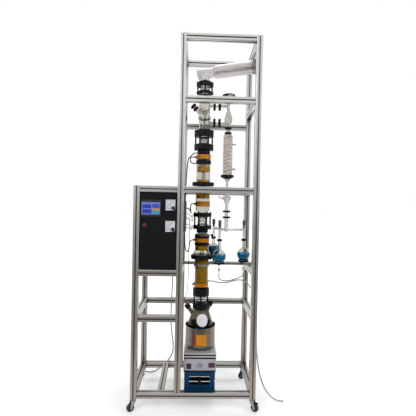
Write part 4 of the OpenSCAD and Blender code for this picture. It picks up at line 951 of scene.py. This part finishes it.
def front_rod(arms):
    """Depth and height of the front rod of a pair of arms."""
    low, high = span(arms)
    return low.y + ARM_END_R, (high.z - ARM_END_R if arms == ARMS[0] else low.z + ARM_END_R)


def rod_bushes():
    """Coloured bushes on the jack's front rods, inside its window."""
    outline = [(4.1, 0), (5.8, 0), (6.6, 0.8), (6.6, 8.2), (5.8, 9), (4.1, 9), (4.1, 0)]
    for arms in ARMS:
        y, z = front_rod(arms)
        for side, x in (("left", axis_x - 68), ("right", axis_x + 59)):
            bush = turned("%s_%s_bush" % (arms, side), outline, (0, 0, 0), 32)
            turn_to(bush, (1, 0, 0), (x, y, z))
            finish(bush, cyan, arms)


def jack_lip():
    """Folded lip of the base, which lies on the front rail."""
    low, high = span("jack_base")
    depth, sheet = 20, 2.5
    lip = block("jack_lip", (low.x, low.y - depth, low.z), (high.x, low.y + 1, low.z + sheet))
    pick_edges(lip, lambda c, d: c.y < low.y - depth + 1
               and (abs(d.z) > FACING or c.z > low.z + sheet - 0.5))
    round_edges(1)
    finish(lip, blue, "frame")


rod_bushes()
jack_lip()
jack_low, jack_high = span("jack_platform")
# The platform's top sheet edge takes the navy enamel: the plate's dark edge, with painted shade for the
# shadowed gap under the stirrer
dress_part("jack_platform", navy, lambda c, n: c.z > jack_high.z - SHADED_TOP_SHEET)
# The platform's underside and the inner faces of base and platform go blue black: painted shade inside
# the jack
dress_part("jack_platform", jack_inside_shade, lambda c, n: n.z < -FACING
           or (n.y < -FACING and c.y > jack_low.y + INNER_FROM))
base_low = span("jack_base")[0]
dress_part("jack_base", jack_inside_shade, lambda c, n: (n.z > FACING and c.z < base_low.z + INNER_FROM)
           or (n.y < -FACING and c.y > base_low.y + INNER_FROM))
for arms in ARMS:
    rod_y, rod_z = front_rod(arms)
    dress_part(arms, bright_steel, lambda c, n: abs(c.x - axis_x) < ROD_HALF
               and math.hypot(c.y - rod_y, c.z - rod_z) < ROD_R)


# Bath and flask
def pot_plate():
    """Plain two-tone plate on the front of the pot."""
    half_turn = 24.0
    band = 8.5
    plate_z = (394, 468)
    piece = turned("pot_plate", [(POT_R + 0.05, 0), (POT_R + 0.05, plate_z[1] - plate_z[0])],
                   (0, 0, 0), 24, 2 * half_turn)
    turn = Matrix.Rotation(math.radians(270 - half_turn), 4, "Z")
    piece.data.transform(Matrix.Translation(Vector((axis_x, axis_y, plate_z[0])) * MM) @ turn)
    wall(piece, 0.5, 1)
    for face in piece.data.polygons:
        c = face.center / MM
        if math.degrees(math.atan2(c.x - axis_x, axis_y - c.y)) < band - half_turn:
            face.material_index = 1
    finish(piece, [orange_film, red_film], "jack_platform")


def flask_label():
    """Bare oval label wrapped on the cone of the flask."""
    middle_z = span("boiling_flask")[0].z + FLASK_R
    middle_turn = math.atan2(-0.88, 0.14)
    slope = math.radians(19)
    middle_rise, half_height, half_width, proud = 48, 39, 38, 0.1
    bpy.ops.object.select_all(action="DESELECT")
    bpy.ops.mesh.primitive_circle_add(vertices=40, radius=1 * MM, fill_type="NGON")
    piece = named("flask_label")
    pick(piece, lambda c, n: True)
    for step in range(5):
        bpy.ops.mesh.inset(thickness=0.17 * MM)
    bpy.ops.object.mode_set(mode="OBJECT")
    for vertex in piece.data.vertices:
        spot = vertex.co / MM
        rise = middle_rise + spot.y * half_height
        r = math.sqrt(max(FLASK_R ** 2 - rise ** 2, 0))
        if rise > FLASK_R * math.sin(slope):
            r = (FLASK_R - rise * math.sin(slope)) / math.cos(slope)
        turn = middle_turn + spot.x * half_width / r
        out = r + proud
        place = (axis_x + out * math.cos(turn), axis_y + out * math.sin(turn), middle_z + rise)
        vertex.co = Vector(place) * MM
    wall(piece, 0.4, 1)
    finish(piece, white_film, "frame")


pot_plate()
flask_label()


# Column
def rod_sleeves():
    """Black spacer tubes on the rods between the collars of each coupling."""
    # Half height of the sleeves, radius of the circle of rods, and rods
    rod_circles = ((28, 46, 4), (29, 52, 6), (25, 56, 6), (18, 48, 4))
    bore, end_r, r = 3.1, 4.6, 5.2
    for i, (z, (half, rod_r, rods)) in enumerate(zip(COUPLING_Z, rod_circles), 1):
        outline = [(bore, -half), (end_r, -half), (r, 1 - half), (r, half - 1), (end_r, half),
                   (bore, half), (bore, -half)]
        first = turned("rod_sleeve_%d_1" % i, outline, (axis_x + rod_r, axis_y, z), 20)
        finish(first, black, "frame")
        for j in range(1, rods):
            turn = 2 * math.pi * j / rods
            shift = (rod_r * (math.cos(turn) - 1), rod_r * math.sin(turn), 0)
            copied(first, "rod_sleeve_%d_%d" % (i, j + 1), shift, "frame")


def coupling_gaskets():
    """White seal between the glass faces of each coupling."""
    for i, z in enumerate(COUPLING_Z):
        r = 37.2 if i == 0 else 33.2
        outline = [(r - 4, -3), (r, -3), (r + 1, -1.5), (r + 1, 1.5), (r, 3), (r - 4, 3), (r - 4, -3)]
        gasket = turned("coupling_gasket_%d" % (i + 1), outline, (axis_x, axis_y, z))
        finish(gasket, white, "frame")


rod_sleeves()
coupling_gaskets()


# Product line
def inner_coil():
    """Glass coil of the upright condenser, with the turns of its solid."""
    low, high = span("condenser_coil")
    tube_r, turns, steps = 4, 10, 16
    coil_r = (high.x - low.x) / 2 - tube_r
    x, y = low.x + tube_r + coil_r, (low.y + high.y) / 2
    lead = 2 * tube_r
    rise = (high.z - low.z - 2 * lead) / turns
    route = [(x + coil_r, y, low.z)]
    for step in range(steps * turns + 1):
        turn = 2 * math.pi * step / steps
        z = low.z + lead + rise * step / steps
        route.append((x + coil_r * math.cos(turn), y + coil_r * math.sin(turn), z))
    route.append((x + coil_r, y, high.z))
    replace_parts(round_line("glass_coil", route, tube_r - 0.3, glass), "condenser_coil")


inner_coil()


# Castors: the places of their king pins, and half the length of an axle between its nuts
SWIVELS = ((-380, -205), (380, -205), (-380, 205), (380, 205))
AXLE_HALF = 15


def axle_nuts():
    """Hex nuts on both ends of each axle."""
    outline = [(0, 0), (7, 0), (7, 3.2), (6, 4), (0, 4)]
    for i, (x, y) in zip(CASTORS, SWIVELS):
        low, high = span("castor_wheel_%d" % i)
        hub = (low + high) / 2
        ahead = Vector((hub.x - x, hub.y - y, 0)).normalized()
        beside = Vector((-ahead.y, ahead.x, 0))
        for side, way in (("a", 1), ("b", -1)):
            nut = turned("axle_nut_%d%s" % (i, side), outline, (0, 0, 0), 6)
            turn_to(nut, beside * way, hub + beside * way * AXLE_HALF)
            finish(nut, zinc, "castor_fork_%d" % i, 20)


axle_nuts()


# Round pieces
for name in (
    "bath_pot", "boiling_flask", "column_glass", "column_packing", "column_fittings", "heater_bands",
    "coupling_collars", "tie_rods", "reflux_head", "vapour_condenser", "support_clamps",
    "product_condenser", "receiver_manifold", "valve_key_1", "valve_key_2", "valve_key_3",
    "receiver_flasks", "receiver_liquid", "drain_key_1", "drain_key_2", "castor_wheel_1",
    "castor_wheel_2", "castor_wheel_3", "castor_wheel_4", "castor_plates", "castor_fork_1",
    "castor_fork_2", "castor_fork_3", "castor_fork_4", "castor_brake", "stop_button",
    "jack_arms_outer", "jack_arms_inner", "jack_screw", "stirrer_housing", "hot_plate", "stirrer_knob",
):
    smoothed(name)


# Studio: pale floor, white surroundings that fade to grey at the front, and three large soft lamps
def seen_rays(tree):
    """1 for rays that show the surroundings, to the camera, in metal and through glass, and the node."""
    rays = put(tree, "ShaderNodeLightPath", {})
    seen = put(tree, "ShaderNodeMath", {"operation": "ADD"},
               [(0, rays.outputs["Is Camera Ray"]), (1, rays.outputs["Is Glossy Ray"])])
    return put(tree, "ShaderNodeMath", {"operation": "ADD", "use_clamp": True},
               [(0, seen.outputs[0]), (1, rays.outputs["Is Transmission Ray"])]).outputs[0], rays


FLOOR_M, FLOOR_DROP_M = 30, 0.0005


def lay_floor():
    """Pale floor, lifted to white with distance, which metal sees darker at the front."""
    bpy.ops.object.select_all(action="DESELECT")
    bpy.ops.mesh.primitive_plane_add(size=FLOOR_M, location=(0, 0, -FLOOR_DROP_M))
    floor = bpy.context.object
    floor.name = "floor"
    material, tree, shader, where = start("pale_floor", 0.0, 0.8)
    mottle(tree, shader, where, "#F0F0F0", "#F2F2F2", 400)
    shown, rays = seen_rays(tree)
    spot = put(tree, "ShaderNodeSeparateXYZ", {}, [(0, where)])
    fade = put(tree, "ShaderNodeMapRange", {"From Min": -1.4, "From Max": -0.3},
               [("Value", spot.outputs["Y"])])
    plain = put(tree, "ShaderNodeMath", {"operation": "MAXIMUM"},
                [(0, fade.outputs[0]), (1, rays.outputs["Is Camera Ray"])])
    pale = put(tree, "ShaderNodeMix", {"data_type": "RGBA"},
               [(0, plain.outputs[0]), (7, tree.nodes["Color Ramp"].outputs["Color"])])
    pale.inputs[6].default_value = srgb("#837A70")
    tree.links.new(pale.outputs[2], shader.inputs["Base Color"])
    reach = put(tree, "ShaderNodeVectorMath", {"operation": "LENGTH"}, [(0, where)])
    rise = put(tree, "ShaderNodeMapRange",
               {"From Min": 0.5, "From Max": 4.0, "To Min": 0.3, "To Max": 0.65},
               [("Value", reach.outputs["Value"])])
    near = put(tree, "ShaderNodeMath", {"operation": "MULTIPLY"},
               [(0, rise.outputs[0]), (1, plain.outputs[0])])
    lift = put(tree, "ShaderNodeMath", {"operation": "MULTIPLY"}, [(0, shown), (1, near.outputs[0])])
    shader.inputs["Emission Color"].default_value = (1, 1, 1, 1)
    tree.links.new(lift.outputs[0], shader.inputs["Emission Strength"])
    floor.data.materials.append(material)


def light_room():
    """White surroundings with a soft even fill, which metal sees fade to grey low at the front."""
    world = bpy.data.worlds.new("studio")
    bpy.context.scene.world = world
    world.use_nodes = True
    tree = world.node_tree
    tree.nodes.clear()
    shown, rays = seen_rays(tree)
    way = put(tree, "ShaderNodeTexCoord", {})
    depth = put(tree, "ShaderNodeSeparateXYZ", {}, [(0, way.outputs["Generated"])])
    room = put(tree, "ShaderNodeMapRange",
               {"From Min": -0.9, "From Max": 0.6, "To Min": 0.28, "To Max": 1.0},
               [("Value", depth.outputs["Y"])])
    ceiling = put(tree, "ShaderNodeMapRange",
                  {"From Min": 0.0, "From Max": 0.22, "To Min": 0.0, "To Max": 0.75},
                  [("Value", depth.outputs["Z"])])
    lit = put(tree, "ShaderNodeMath", {"operation": "ADD", "use_clamp": True},
              [(0, room.outputs[0]), (1, ceiling.outputs[0])])
    level = put(tree, "ShaderNodeMath", {"operation": "MAXIMUM"},
                [(0, lit.outputs[0]), (1, rays.outputs["Is Camera Ray"])])
    fill = put(tree, "ShaderNodeBackground", {"Color": (1, 1, 1, 1), "Strength": 0.5})
    backdrop = put(tree, "ShaderNodeBackground", {"Color": (1, 1, 1, 1)},
                   [("Strength", level.outputs[0])])
    mix = put(tree, "ShaderNodeMixShader", {},
              [(0, shown), (1, fill.outputs[0]), (2, backdrop.outputs[0])])
    put(tree, "ShaderNodeOutputWorld", {}, [("Surface", mix.outputs[0])])


AIM = (0, 0, 1.2)


def hang_lamps():
    """Three large soft lamps, turned to the middle of the rig: place and size in m, and watts."""
    for name, place, size, watts in (
        ("key_lamp", (-2.6, -3.6, 3.4), 2.2, 90),
        ("side_lamp", (3.4, -2.6, 2.4), 2.4, 55),
        ("back_lamp", (0.8, 2.6, 6.0), 2.6, 90),
    ):
        bpy.ops.object.light_add(type="AREA", location=place)
        lamp = bpy.context.object
        lamp.name = name
        lamp.data.size = size
        lamp.data.energy = watts
        aim = Vector(AIM) - Vector(place)
        lamp.rotation_euler = aim.to_track_quat("-Z", "Y").to_euler()


lay_floor()
light_room()
hang_lamps()
bpy.context.scene.view_settings.view_transform = "Standard"
